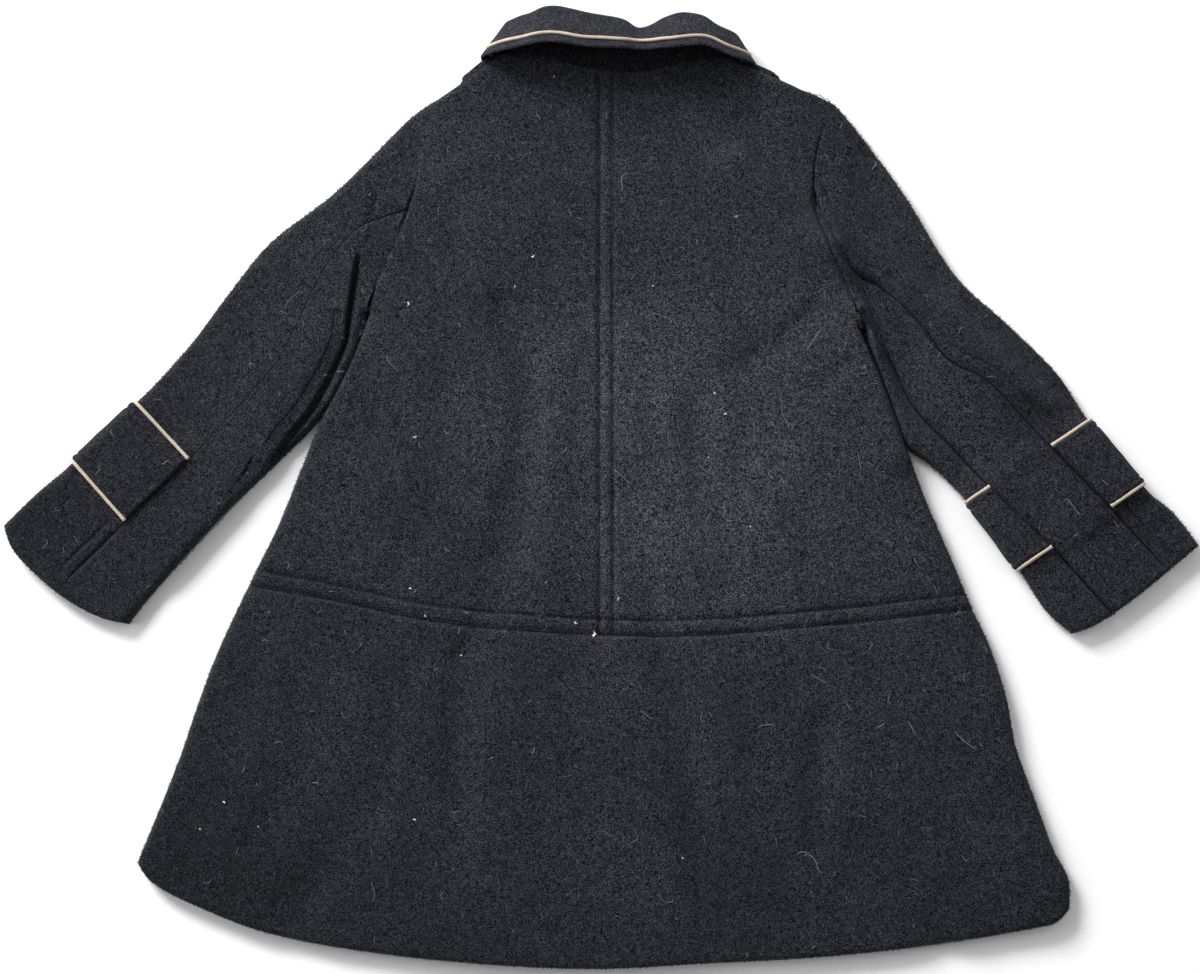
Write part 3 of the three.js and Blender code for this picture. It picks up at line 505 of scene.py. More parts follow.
skirt_left, left_side_line, left_rolled = side_lines(LEFT_SIDE_SKIRT, LEFT_SIDE, LEFT_ARMHOLE, ARM_SEAM)
skirt_right, right_side_line, right_rolled = side_lines(RIGHT_SIDE_SKIRT, RIGHT_SIDE, RIGHT_ARMHOLE, -ARM_SEAM)
for skirt_line in (skirt_left, skirt_right):
    skirt_line[-1, 1] -= SEAM
arm_lines = {"left": line_through(LEFT_ARMHOLE), "right": line_through(RIGHT_ARMHOLE)}

# The sleeves' outlines, from the cuff to the armhole: the outer edge and the inner edge of each row.
LEFT_SLEEVE = [
    ((-367.5, -24.5), (-289.5, -85.5)),
    ((-347, -4), (-278, -70)),
    ((-325.5, 14.5), (-264, -54)),
    ((-287.5, 51.5), (-227, -13)),
    ((-257, 85.5), (-196, 18)),
    ((-234, 117), (-178.4, 36.2)),
    ((-206, 153), (-164.0, 56.2)),
    ((-165, 186), (-152.4, 82.4)),
    ((-119, 233), (-147, 107)),
]
RIGHT_SLEEVE = [
    ((369, -37), (290, -91.5)),
    ((354, -17), (274, -77)),
    ((335, 0), (258, -52)),
    ((303, 40), (227, -10)),
    ((284, 70), (206, 12)),
    ((254, 101), (189.3, 25.4)),
    ((221, 133), (180.9, 48.4)),
    ((187, 189), (172.0, 73.4)),
    ((148, 241), (164, 98)),
]
outer_left, inner_left = zip(*LEFT_SLEEVE)
outer_right, inner_right = zip(*RIGHT_SLEEVE)
left_top = line_through(LEFT_SHOULDER + list(outer_left[-2::-1]))
right_top = line_through(RIGHT_SHOULDER + list(outer_right[-2::-1]))
body_edges = [left_top, right_top, left_rolled, right_rolled]


UNDER_SINK = -0.25  # the seams of the underside sink upwards, and less
ON_FLOOR = 0.02


def body_panel(name, plan, upper, seams, size, rests_on, bottom=None):
    x, y = plan[..., 0], plan[..., 1]
    under = np.zeros_like(x) if bottom is None else bottom(x)
    z = lay(x, y, upper, body_edges, neck_lift(x, y), top_height(x, y), under, SEAM / 2)
    z, full = sew_in(x, y, z, seams, 1 if upper else UNDER_SINK)
    points = np.stack([x, y, np.maximum(z, ON_FLOOR)], -1)
    piece = cloth_piece(f"{name}_panel", points, full, (0, 0, 1 if upper else -1), CLOTH, fleece)
    declare(piece, name, points, *size, rests_on)
    return piece


def bodice_half(left, center_x, neck, pitch):
    """Plan of half of the bodice, from a line up the middle to the side and the armhole."""
    side = left_side_line if left else right_side_line
    shoulder = LEFT_SHOULDER if left else RIGHT_SHOULDER
    inward = ARM_SEAM if left else -ARM_SEAM
    end = 0 if left else 1
    from_neck = along(neck, np.linspace(share_at(neck, center_x), end, 6))
    tip = (shoulder[-1][0] + inward, shoulder[-1][1])
    top = line_through([tuple(p) for p in from_neck] + shoulder[1:-1] + [tip])
    low = piece_of(waist_line, share_at(waist_line, center_x), end)
    center = np.linspace(low[0], top[0], 40)
    across = steps(length_of(low), sorted(NEAR_SEAM + NEAR_STITCH), NEAR_ROLL, pitch)
    up = steps(length_of(side), sorted(NEAR_SEAM + NEAR_STITCH), NEAR_ROLL, pitch)
    return patch(low, top, center, side, across, up)


STITCH_IN = 7.6  # mm from a seam to its topstitching
# How strongly a seam shows at shares of its length: the nap hides most of a seam that is not pulled open.
ARM_SHOWS = {"left": ((0, 0.3, 0.38, 0.5, 0.6, 1), (0.1, 0.15, 0.9, 0.8, 0.3, 0.3)),
             "right": ((0, 0.33, 0.42, 0.8, 1), (0.1, 0.15, 1, 1, 0.3))}
BACK_SHOWS = {"left": ((0, 0.1, 0.15, 0.88, 0.94, 1), (0.8, 0.8, 0.04, 0.04, 0.5, 0.6)),
              "right": ((0, 1), (1.3, 1.3))}
STITCH_SHOWS = {"left": ((0, 0.1, 0.15, 1), (0.8, 0.8, 0, 0)), "right": ((0, 1), (1.5, 1.5))}
arm_down = {"sink": 2.2, "reach": 1.25}
seam_down = {"sink": 1.9, "reach": 2.0}
stitch_down = {"sink": 1.7, "reach": 1.35}
center_seam = np.array([(0.0, -93.0), (0.0, 259.0)])
center_stitch = center_seam + np.array([8.2, 0])
waist_stitch = waist_line + np.array([0, 9.4])
waist_down = dict(seam_down, line=waist_line)
back_seams = [
    dict(seam_down, line=center_seam),
    waist_down,
    {"sink": 0.7, "reach": 1.5, "line": neck_line},
    dict(arm_down, line=arm_lines["left"], shows=ARM_SHOWS["left"]),
    dict(arm_down, line=arm_lines["right"], shows=ARM_SHOWS["right"]),
    dict(stitch_down, line=center_stitch),
    dict(stitch_down, line=waist_stitch),
]
PITCH = 2.8
back_left = body_panel(
    "back_left", bodice_half(True, -SEAM / 2, neck_line, PITCH), True, back_seams, (235, 370), ["front_left"],
)
back_right = body_panel(
    "back_right", bodice_half(False, SEAM / 2, neck_line, PITCH), True, back_seams, (245, 370),
    ["front_left", "front_right"],
)

# The skirt of the back: one flared panel of the same fleece, hung from the dropped waist seam.
# Its hem is turned under once and pressed, so that its lower edge is round.
hem_down = {"sink": 1.1, "reach": 1.6, "line": hem_line}
SKIRT_LENGTH = 190
skirt_across = steps(length_of(hem_line), NEAR_ROLL, NEAR_ROLL, PITCH)
skirt_up = steps(SKIRT_LENGTH, NEAR_SEAM, NEAR_SEAM, PITCH)
back_skirt = body_panel(
    "back_skirt", patch(hem_line, waist_under, skirt_left, skirt_right, skirt_across, skirt_up), True,
    [waist_down, hem_down], (580, 235), ["front_skirt_left", "front_skirt_right"],
)

# The fronts: the right one lies on the surface and laps under the left one, as they are buttoned.
# They are plain below the neck, where the photograph doesn't reach.
FRONT_PITCH = 5.0
front_left = body_panel(
    "front_left", bodice_half(True, LAP["right"], front_neck_line, FRONT_PITCH), False, [waist_down], (300, 350),
    ["front_right"], lap_level,
)
front_right = body_panel(
    "front_right", bodice_half(False, LAP["left"], front_neck_line, FRONT_PITCH), False, [waist_down], (300, 350),
    ["floor"],
)


def skirt_front(left, free_x):
    end = 0 if left else 1
    low = piece_of(hem_line, share_at(hem_line, free_x), end)
    high = piece_of(waist_under, share_at(waist_under, free_x), end)
    free = np.linspace(low[0], high[0], 40)
    across = steps(length_of(low), NEAR_SEAM, NEAR_ROLL, FRONT_PITCH)
    up = steps(SKIRT_LENGTH, NEAR_SEAM, NEAR_SEAM, FRONT_PITCH)
    return patch(low, high, free, skirt_left if left else skirt_right, across, up)


front_skirt_left = body_panel(
    "front_skirt_left", skirt_front(True, LAP["right"]), False, [waist_down, hem_down], (350, 235),
    ["front_skirt_right"], lap_level,
)
front_skirt_right = body_panel(
    "front_skirt_right", skirt_front(False, LAP["left"]), False, [waist_down, hem_down], (340, 225), ["floor"],
)

# The sleeves: each is cut in two, an upper and an under sleeve, and lies flattened with its seams on top.
# The back seam is topstitched on the upper sleeve's side. The left front seam is on the underside.
LEFT_CUFF = [(-367.5, -24.5), (-361.4, -40), (-347, -55.4), (-327.4, -71), (-307.5, -81.4), (-289.5, -85.5)]
RIGHT_CUFF = [(369, -37), (347, -55.4), (327.4, -71), (305, -86), (290, -91.5)]
LEFT_BACK_SEAM = [
    (-325, -56), (-292, -23), (-254, 15), (-215, 59), (-197, 82), (-182, 115), (-170, 138), (-150, 162), (-118, 174),
]
RIGHT_BACK_SEAM = [
    (347, -50), (316.5, -16.5), (278.5, 24), (242, 62.7), (217, 78), (197, 103), (176, 124), (157, 136),
    (142, 164), (134, 184),
]
RIGHT_FRONT_SEAM = [
    (314, -79), (283, -44), (250, -12.5), (221, 21), (200, 43), (190, 58), (182, 76), (164, 107),
]
FRONT_SEAM_UNDER = {"cuff": 0.92, "armhole": 0.8}
BAND = {"low": 2, "high": 3, "lift": 2.5, "soft": 0.35}
BAND_CLOTH = 2.2
# A deep crease along the left sleeve: the cloth above it hangs over, and a strip beyond it lies lower.
LEFT_CREASE = [
    (-150, 148), (-153.4, 138), (-156, 122), (-157.7, 108), (-159.8, 91), (-168.4, 70.6), (-174.8, 58.9),
    (-183.3, 45), (-198.3, 25.7), (-209.6, 5.4),
]
CREASE_ROOF = 6.9  # mm: below this the cloth in the crease is its thin inner side
STRIP_LEVEL = 9.2
# Across the crease: the place, where the cloth is drawn to, and how far it has dropped or at what height it lies.
OVERHANG = [(-7, -7, 0), (-4, -3.4, 0), (-2.4, -1.4, 0), (-1.4, -0.2, -0.2), (-0.8, 0.3, -0.7), (-0.4, 0.3, -1.8),
            (0, 0.1, -4.5)]
HOLLOW = [(0.5, -0.6, 5.6), (1, -0.5, 4.4), (1.8, 0.6, 4.0), (2.8, 1.9, 4.4), (3.6, 2.5, 6.6), (4.4, 3.3, 8.2),
          (5.4, 4.9, 8.9), (7, 6.7, 9.2), (8.5, 8.4, 9.2)]
WIDENING = {"by": 0.8, "from": 45, "to": 115}  # the slit is wider towards the cuff, in mm along it
HOLLOW_CLOTH = 0.5  # share of the cloth's thickness at the bottom of the crease
SLEEVE_WIDTH = 95.0
SLEEVE_GAP = 0.2 / SLEEVE_WIDTH


def sleeve_plan(table, cuff, armhole, a, row):
    """Plan of a sleeve: a is the share from its outer to its inner edge, row counts up its table."""
    last = len(table) - 1
    outer, inner = (catmull(column, row) for column in zip(*table))
    cuff_line, arm_line = line_through(cuff), line_through(armhole)
    A = a[..., None]
    cuff_bow = along(cuff_line, a) - (cuff_line[0] * (1 - A) + cuff_line[-1] * A)
    arm_bow = along(arm_line, a) - (arm_line[0] * (1 - A) + arm_line[-1] * A)
    near_cuff = (1 - smooth(0, 2, row))[..., None]
    near_arm = smooth(last - 4, last, row)[..., None]
    return outer * (1 - A) + inner * A + near_cuff * cuff_bow + near_arm * arm_bow


def crossing(plan, rows, seam_line):
    """Where a seam crosses each row of the sleeve, as the share across."""
    a, row = np.meshgrid(np.linspace(0, 1, 401), rows)
    p = plan(a, row)
    far = nearest(seam_line, p[..., 0], p[..., 1])[0]
    return a[0][np.argmin(far, axis=1)]


def band_lift(row):
    rise = smooth(BAND["low"] - BAND["soft"], BAND["low"], row)
    return BAND["lift"] * rise * (1 - smooth(BAND["high"], BAND["high"] + BAND["soft"], row))


ROLL_SHARES = np.array([0, 0.02, 0.08, 0.19, 0.32, 0.5, 0.72, 1]) * ROLL / SLEEVE_WIDTH


def run_of_shares(start, end, count):
    """Shares from start to end, one array of them for each row, with the roll's close ones at 0 and 1."""
    start, end = np.broadcast_arrays(np.asarray(start, float), np.asarray(end, float))
    columns = []
    first, last = start, end
    if np.all(start == 0):
        columns += [np.full(start.shape, s) for s in ROLL_SHARES]
        first = columns.pop()
    elif np.all(start == 1):
        columns += [np.full(start.shape, 1 - s) for s in ROLL_SHARES]
        first = columns.pop()
    tail = []
    if np.all(end == 0):
        tail = [np.full(start.shape, s) for s in ROLL_SHARES[::-1]]
        last = tail.pop(0)
    elif np.all(end == 1):
        tail = [np.full(start.shape, 1 - s) for s in ROLL_SHARES[::-1]]
        last = tail.pop(0)
    middle = [first + (last - first) * k for k in np.linspace(0, 1, count + 1)]
    return np.stack(columns + middle + tail, -1)


def crease_share(x, y, line):
    """How much a place belongs to the crease: 1 along it, fading at its ends. And its signed distance."""
    far, sign, run = nearest(line, x, y)
    size = length_of(line)
    return smooth(0, 18, run) * (1 - smooth(size - 20, size - 2, run)), far * sign


def sleeve_surface(side, a, row, under):
    """Points of a sleeve at shares a across, on its upper or its under side."""
    p = side["plan"](a, row)
    x, y = p[..., 0], p[..., 1]
    top = top_height(x, y)
    if "crease" in side:
        share, off = crease_share(x, y, side["crease"])
        beyond = share * smooth(0.1, 0.6, off)
        top = top * (1 - beyond) + STRIP_LEVEL * beyond
    z = lay(x, y, ~under, side["edges"], band_lift(row), top, np.zeros_like(x), 0.0)
    return np.stack([x, y, z], -1)


def with_seam_rows(start, end, near, gap):
    """Adds close shares beside a seam at start: near is their distances in mm, towards end."""
    toward = np.sign(end - start)
    return np.stack([start + toward * (gap + d / SLEEVE_WIDTH) for d in near], -1)


SEAM_SHARES = [0, 0.4, 1.0, 1.8, 2.8, 4.0]


def upper_run(side, rows, gap, near):
    """Shares and undersides of the upper sleeve: back seam, outer edge, underside, front seam."""
    back = crossing(side["plan"], rows, side["back"]) - gap
    close = with_seam_rows(back, np.zeros_like(back), near, 0)
    to_edge = run_of_shares(close[:, -1], 0 * back, 18)[:, 1:]
    shares, under = [close, to_edge], [np.zeros(close.shape, bool), np.zeros(to_edge.shape, bool)]
    if "front" in side:
        below = run_of_shares(0 * back, 1 + 0 * back, 22)[:, 1:]
        front = np.minimum(crossing(side["plan"], rows, side["front"]), 0.965) + gap
        tail = run_of_shares(1 + 0 * back, np.maximum(front, 0), 1)[:, 1:-1]
        tail = np.maximum(tail, front[:, None])
        to_front = np.stack([tail[:, -1] + (front - tail[:, -1]) * k for k in (0.35, 0.6, 0.8, 0.92, 1)], -1)
        shares += [below, tail, to_front]
        under += [np.ones(below.shape, bool), np.zeros(tail.shape, bool), np.zeros(to_front.shape, bool)]
    else:
        stop = seam_under(rows)
        below = run_of_shares(0 * back, stop, 20)[:, 1:]
        shares.append(below)
        under.append(np.ones(below.shape, bool))
    return np.concatenate(shares, 1), np.concatenate(under, 1)


def seam_under(row):
    share = smooth(5, 8, row)
    return FRONT_SEAM_UNDER["cuff"] * (1 - share) + FRONT_SEAM_UNDER["armhole"] * share


FOLD_COLUMNS = 84


def under_run(side, rows, gap):
    """Shares and undersides of the under sleeve: back seam, then the front seam or the inner edge."""
    back = crossing(side["plan"], rows, side["back"]) + gap
    close = with_seam_rows(back, np.ones_like(back), SEAM_SHARES, 0)
    if "front" in side:
        front = np.minimum(crossing(side["plan"], rows, side["front"]), 0.955) - gap
        far_close = with_seam_rows(front, np.zeros_like(front), SEAM_SHARES, 0)[:, ::-1]
        gone = far_close[:, 0] - close[:, -1]
        middle = np.stack([close[:, -1] + gone * k for k in np.linspace(0, 1, 12)[1:-1]], -1)
        shares = np.concatenate([close, middle, far_close], 1)
        return shares, np.zeros(shares.shape, bool)
    to_edge = run_of_shares(close[:, -1], 1 + 0 * back, FOLD_COLUMNS)[:, 1:]
    stop = seam_under(rows) + 2 * gap
    below = run_of_shares(1 + 0 * back, stop, 4)[:, 1:]
    shares = np.concatenate([close, to_edge, below], 1)
    above = close.shape[1] + to_edge.shape[1]
    under = np.tile(np.arange(shares.shape[1]) >= above, (len(shares), 1))
    return shares, under


def draw_crease(points, line, on_top):
    """Draws the cloth on one side of a crease over the hollow on its other side."""
    far, sign, run = nearest(line, points[..., 0], points[..., 1])
    off, share = far * sign, crease_share(points[..., 0], points[..., 1], line)[0]
    wide = np.where(off > 0, 1 + WIDENING["by"] * smooth(WIDENING["from"], WIDENING["to"], run), 1)
    off = off / wide
    place, drawn, level = (np.array([row[k] for row in OVERHANG + HOLLOW], float) for k in range(3))
    reached = np.concatenate([[0], np.cumsum(np.hypot(*np.diff(line, axis=0).T))])
    heading = np.gradient(line, reached, axis=0)
    heading /= np.linalg.norm(heading, axis=1, keepdims=True)
    toward = np.stack([-np.interp(run, reached, heading[:, 1]), np.interp(run, reached, heading[:, 0])], -1)
    near = on_top & (np.abs(off) < place[-1]) & (share > 0)
    moved = np.where(near, np.interp(off, place, drawn) - off, 0) * share * wide
    over = len(OVERHANG)
    dropped = points[..., 2] + np.interp(off, place[:over], level[:over])
    hollow = np.minimum(points[..., 2], np.interp(off, place[over:], level[over:]))
    turn = smooth(0, place[over], off)
    height = dropped * (1 - turn) + hollow * turn
    points[..., :2] += toward * moved[..., None]
    points[..., 2] = np.where(near, points[..., 2] * (1 - share) + height * share, points[..., 2])


SIDES = {
    "left": {
        "name": "left", "table": LEFT_SLEEVE, "cuff": LEFT_CUFF, "armhole": LEFT_ARMHOLE,
        "back": line_through(LEFT_BACK_SEAM),
        "edges": [left_top, line_through(inner_left)], "crease": line_through(LEFT_CREASE),
    },
    "right": {
        "name": "right", "table": RIGHT_SLEEVE, "cuff": RIGHT_CUFF, "armhole": RIGHT_ARMHOLE,
        "back": line_through(RIGHT_BACK_SEAM),
        "front": line_through(RIGHT_FRONT_SEAM), "edges": [right_top, line_through(inner_right)],
    },
}
sleeve_rows = np.concatenate([
    [0, 0.012, 0.03, 0.055, 0.09], np.linspace(0.15, 1.9, 34), np.linspace(1.95, 3.05, 22),
    np.linspace(3.1, 7.85, 88), [7.9, 7.935, 7.965, 7.985, 8],
])
folded_rows = np.concatenate([
    sleeve_rows[sleeve_rows < 4], np.linspace(4, 7.85, 170), [7.9, 7.935, 7.965, 7.985, 8],
])


def sleeve_seams(side):
    """The lines that a sleeve's cloth sinks to."""
    back = side["back"]
    ahead = np.diff(back, axis=0)
    aside = np.stack([-ahead[:, 1], ahead[:, 0]], -1) / np.linalg.norm(ahead, axis=1, keepdims=True)
    outward = 1 if side["name"] == "left" else -1
    side["stitch"] = back + np.vstack([aside, aside[-1:]]) * outward * STITCH_IN
    seams = [
        {"sink": 1.9, "reach": 1.4, "line": back, "shows": BACK_SHOWS[side["name"]]},
        {"sink": 1.4, "reach": 1.1, "line": side["stitch"], "shows": STITCH_SHOWS[side["name"]]},
        dict(arm_down, line=line_through(side["armhole"]), shows=ARM_SHOWS[side["name"]]),
        {"sink": 1.1, "reach": 1.4, "line": line_through(side["cuff"])},
    ]
    if "front" in side:
        seams.append({"sink": 2.5, "reach": 1.4, "line": side["front"]})
    return seams


def grid_normals(points, outward):
    """Ways out of a grid of points, turned to the side of one known way at its first point."""
    across = np.gradient(points, axis=1)
    down = np.gradient(points, axis=0)
    normals = np.cross(across, down)
    normals /= np.linalg.norm(normals, axis=-1, keepdims=True) + 1e-12
    return normals * np.sign((normals[len(normals) // 2, 0] * outward).sum())


sleeves = {}
for name, side in SIDES.items():
    side["plan"] = lambda a, row, s=side: sleeve_plan(s["table"], s["cuff"], s["armhole"], a, row)
    side["seams"] = sleeve_seams(side)
    stitch_near = sorted(SEAM_SHARES + NEAR_STITCH)
    under_rows = folded_rows if "crease" in side else sleeve_rows
    for kind, rows, run in (("upper", sleeve_rows, upper_run(side, sleeve_rows, SLEEVE_GAP, stitch_near)),
                            ("under", under_rows, under_run(side, under_rows, SLEEVE_GAP))):
        a, under = run
        row = np.repeat(rows[:, None], a.shape[1], 1)
        points = sleeve_surface(side, a, row, under)
        sewn, full = sew_in(points[..., 0], points[..., 1], points[..., 2], side["seams"], 1)
        points[..., 2] = np.where(under, points[..., 2], np.maximum(sewn, CLOTH + 0.1))
        if kind == "under" and "crease" in side:
            draw_crease(points, side["crease"], ~under)
            share = crease_share(points[..., 0], points[..., 1], side["crease"])[0]
            inside = (share > 0.3) & (points[..., 2] < CREASE_ROOF)
            full = np.where(inside & ~under, HOLLOW_CLOTH, full)
        ways = grid_normals(points, (0, 0, 1))
        piece = cloth_piece(f"sleeve_{name}_{kind}_cloth", points, full, ways, CLOTH, fleece)
        declare(piece, f"sleeve_{name}_{kind}", points, 230 if kind == "upper" else 90, 340, ["floor"])
        sleeves[name, kind] = piece

# The cuff bands: a strap of the same fleece round each sleeve, a hand's width above the cuff.
# Its long edges are folded in and topstitched, and its ends meet the sleeve's seam.
BAND_ROWS = np.concatenate([
    [0.02, 0.025, 0.035, 0.05], np.linspace(0.065, 0.935, 34), [0.95, 0.965, 0.975, 0.98],
]) + BAND["low"]
BAND_STITCH = 0.115  # rows from the band's edge to its topstitching
BAND_WIDTH = 52
BAND_END_STITCH = 5.4  # mm from the band's cut end to its topstitching
BAND_DEEPEST = 1.1
BAND_GAP = SLEEVE_GAP + 0.6 / SLEEVE_WIDTH


bands = {}
for name, side in SIDES.items():
    a, under = upper_run(side, BAND_ROWS, BAND_GAP, SEAM_SHARES)
    row = np.repeat(BAND_ROWS[:, None], a.shape[1], 1)
    base = sleeve_surface(side, a, row, under)
    ways = grid_normals(base, (0, 0, 1))
    back_far = nearest(side["back"], base[..., 0], base[..., 1])[0]
    depth = np.where(under, 0, groove(back_far - BAND_END_STITCH, 0.75, 1.0) + groove(back_far, 0.9, 1.2))
    for stitch_row in (BAND["low"] + BAND_STITCH, BAND["high"] - BAND_STITCH):
        depth += groove((row - stitch_row) * BAND_WIDTH, 0.75, 1.0)
    for edge_row in (BAND_ROWS[0], BAND_ROWS[-1]):
        depth += groove((row - edge_row) * BAND_WIDTH, 1.0, 0.8)
    depth = np.minimum(depth, BAND_DEEPEST)
    uneven = 0.35 * (1 + waves(row * BAND_WIDTH, a * SLEEVE_WIDTH, 11))
    points = base + ways * (SEAM + BAND_CLOTH + uneven - depth)[..., None]
    points[..., 2] = np.maximum(points[..., 2], ON_FLOOR)
    full = np.clip(1 - depth * 0.35, 0.5, 1)
    piece = cloth_piece(f"cuff_band_{name}_strap", points, full, ways, BAND_CLOTH, fleece)
    declare(piece, f"cuff_band_{name}", points, 56, 215, [sleeves[name, "upper"].name])
    bands[name] = piece

# The cuff piping: a soft cream cord under each long edge of a band, sewn in with the fold.
# It is a folded strip of knitted braid round a thin core, a little thicker at its cut ends.
CUFF_CORD = 1.1
CORD_SIDES, CORD_PITCH = 10, 1.4


BRAID_SHADER = {"Roughness": 0.8, "Specular IOR Level": 0.25, "Sheen Weight": 0.15}
# Cream, and a dark brown of painted shade where the stitches' bump lies low.
BRAID_COLOR_AND_SHADE = [(0.02, (0.26, 0.18, 0.12, 1)), (0.42, (0.76, 0.66, 0.54, 1))]


def braid_material(name):
    """Cream cotton braid: fine slanting stitches, with painted shade that turns it dark brown in the hollows between
    them.
    """
    material, tree, shader = new_material(name, BRAID_SHADER)
    chart = node(tree, "UVMap", {}, uv_map="braid").outputs["UV"]
    place = node(tree, "TexCoord", {}).outputs["Object"]
    slants = {"Vector": chart, "Scale": 0.5, "Distortion": 0.8, "Detail": 1}
    stitches = node(tree, "TexWave", slants, bands_direction="DIAGONAL").outputs["Fac"]
    grain = node(tree, "TexNoise", {"Vector": place, "Scale": 900, "Detail": 2}).outputs["Fac"]
    mixed = node(tree, "Math", {0: stitches, 1: grain}, operation="MULTIPLY").outputs["Value"]
    set_inputs(tree, shader, {"Base Color": ramp(tree, mixed, BRAID_COLOR_AND_SHADE)})
    bumped(tree, shader, mixed, 0.7, 0.0005)
    return material


braid = braid_material("cream_braid")


def cord(name, node_name, centers, ways, radii):
    """A round cord: a grid wrapped about its middle line, joined along its length and closed at its ends."""
    ahead = np.gradient(centers, axis=0)
    ahead /= np.linalg.norm(ahead, axis=1, keepdims=True)
    up = ways - (ways * ahead).sum(1, keepdims=True) * ahead
    up /= np.linalg.norm(up, axis=1, keepdims=True)
    aside = np.cross(ahead, up)
    count = len(centers)
    run = np.concatenate([[0], np.cumsum(np.linalg.norm(np.diff(centers, axis=0), axis=1))])
    bm = bmesh.new()
    bmesh.ops.create_grid(bm, x_segments=CORD_SIDES, y_segments=count - 1, size=1)
    bm.verts.ensure_lookup_table()
    chart = bm.loops.layers.uv.new("braid")
    place = {}
    for i, vert in enumerate(bm.verts):
        r, k = divmod(i, CORD_SIDES + 1)
        turn = 2 * math.pi * (k % CORD_SIDES) / CORD_SIDES
        spot = centers[r] + radii[r] * (math.cos(turn) * up[r] + math.sin(turn) * aside[r])
        vert.co = (spot - ORIGIN) * MM
        place[vert] = (run[r], 2 * math.pi * radii.mean() * k / CORD_SIDES)
    for face in bm.faces:
        face.smooth = True
        for loop in face.loops:
            loop[chart].uv = place[loop.vert]
    bmesh.ops.remove_doubles(bm, verts=bm.verts, dist=1e-7)
    rims = [e for e in bm.edges if e.is_boundary]
    bmesh.ops.holes_fill(bm, edges=rims, sides=CORD_SIDES)
    bmesh.ops.recalc_face_normals(bm, faces=bm.faces)
    stand_for(finished(bm, name, braid), node_name)


def even_run(points, ways):
    """The same line and ways out at an even pitch."""
    far = np.concatenate([[0], np.cumsum(np.linalg.norm(np.diff(points, axis=0), axis=1))])
    at = np.linspace(0, far[-1], max(8, round(far[-1] / CORD_PITCH)))
    even = np.stack([np.interp(at, far, points[:, k]) for k in range(3)], -1)
    out = np.stack([np.interp(at, far, ways[:, k]) for k in range(3)], -1)
    return even, out / np.linalg.norm(out, axis=1, keepdims=True), at


for name, side in SIDES.items():
    for kind, edge_row in (("lower", BAND["low"]), ("upper", BAND["high"])):
        rows = np.array([edge_row - 0.01, edge_row, edge_row + 0.01])
        a, under = upper_run(side, rows, SLEEVE_GAP, SEAM_SHARES)
        base = sleeve_surface(side, a, np.repeat(rows[:, None], a.shape[1], 1), under)
        ways = grid_normals(base, (0, 0, 1))
        line, out, at = even_run(base[1], ways[1])
        swell = 1 + 0.22 * (np.exp(-((at / 1.8) ** 2)) + np.exp(-(((at[-1] - at) / 1.8) ** 2)))
        uneven = 1 + 0.05 * waves(at, at * 0 + edge_row, 7)
        centers = line + out * (SEAM + CUFF_CORD)
        part_name = f"cuff_piping_{name}_{kind}"
        cord(f"{part_name}_cord", part_name, centers, out, CUFF_CORD * swell * uneven)

# The collar: a turned-down collar of two layers, standing up from the neck and falling open at the back.
# At the front it lies folded under the neck. A cream cord is sewn in 8 mm inside its free edge.
COLLAR_CORD = 1.1
COLLAR_EDGE = 8.0
GROOVE = 1.15
NECK_GAP = {"back": 0.1, "front": 3.0}
COLLAR_KEYS = ("at", "z", "to", "facing", "stand", "roll", "open", "fall", "proud")
COLLAR = [
    (0, 6.9, (0, 1), 180, 16, 1.8, 0, 44, 1.6),
    (0.4, 6.9, (0.3, 0.95), 180, 16, 1.8, 0, 43, 1.6),
    (0.66, 3.9, (0.7, 0.7), 180, 15, 0.3, 0, 38, 1.6),
    (0.9, 4.1, (0.7, 0.71), 180, 17, 0.3, 0, 34, 1.6),
    (1, 6.6, (0.5, 0.86), 110, 21, 1.4, 5, 27, 2.2),
    (1.06, 10.4, (0.3, 0.95), 50, 16.5, 2.8, 20, 28, 3),
    (1.12, 12.2, (0.18, 0.98), 18, 17.5, 3.8, 30, 29, 3.3),
    (1.2, 12.4, (0.07, 1), 4, 24.5, 4, 37, 34, 3.3),
    (1.32, 12.2, (0, 1), 0, 27.6, 4, 38, 34, 3.3),
    (1.42, 12, (0, 1), 0, 27.9, 4, 38, 31.2, 3.3),
    (1.52, 12, (0, 1), 0, 26.6, 4, 40, 28.6, 3.3),
    (1.58, 12, (0, 1), 0, 20.9, 4, 42, 21.4, 3.3),
    (1.63, 12, (0, 1), 0, 22, 4, 42, 24.8, 3.3),
    (1.68, 12, (0, 1), 0, 24.6, 4, 40, 29.8, 3.3),
    (1.74, 12, (0, 1), 0, 25.2, 4, 38, 32.2, 3.3),
    (1.84, 12.3, (-0.05, 1), -5, 19.8, 4, 34, 26, 3.3),
    (1.91, 12.2, (-0.18, 0.98), -18, 14.7, 3.6, 26, 23.5, 3.2),
    (1.97, 9.8, (-0.32, 0.95), -60, 13.5, 2.4, 14, 23, 2.8),
    (2.02, 5, (-0.5, 0.86), -150, 15, 0.9, 0, 20, 1.9),
    (2.16, 3.9, (-0.75, 0.66), -180, 15, 0.3, 0, 34, 1.6),
    (2.5, 3.9, (-0.5, 0.86), -180, 15, 0.3, 0, 42, 1.6),
    (3, 3.9, (0, 1), -180, 16, 0.3, 0, 44, 1.6),
]
collar_painted_shade = fleece_material("collar_painted_shade", 0.34)  # painted shade: a darker colour on the collar's inner side, for the hollow under its turned-down part
FRONT_NECK_END = 0.49  # share of the front neckline at which the collar's two ends meet


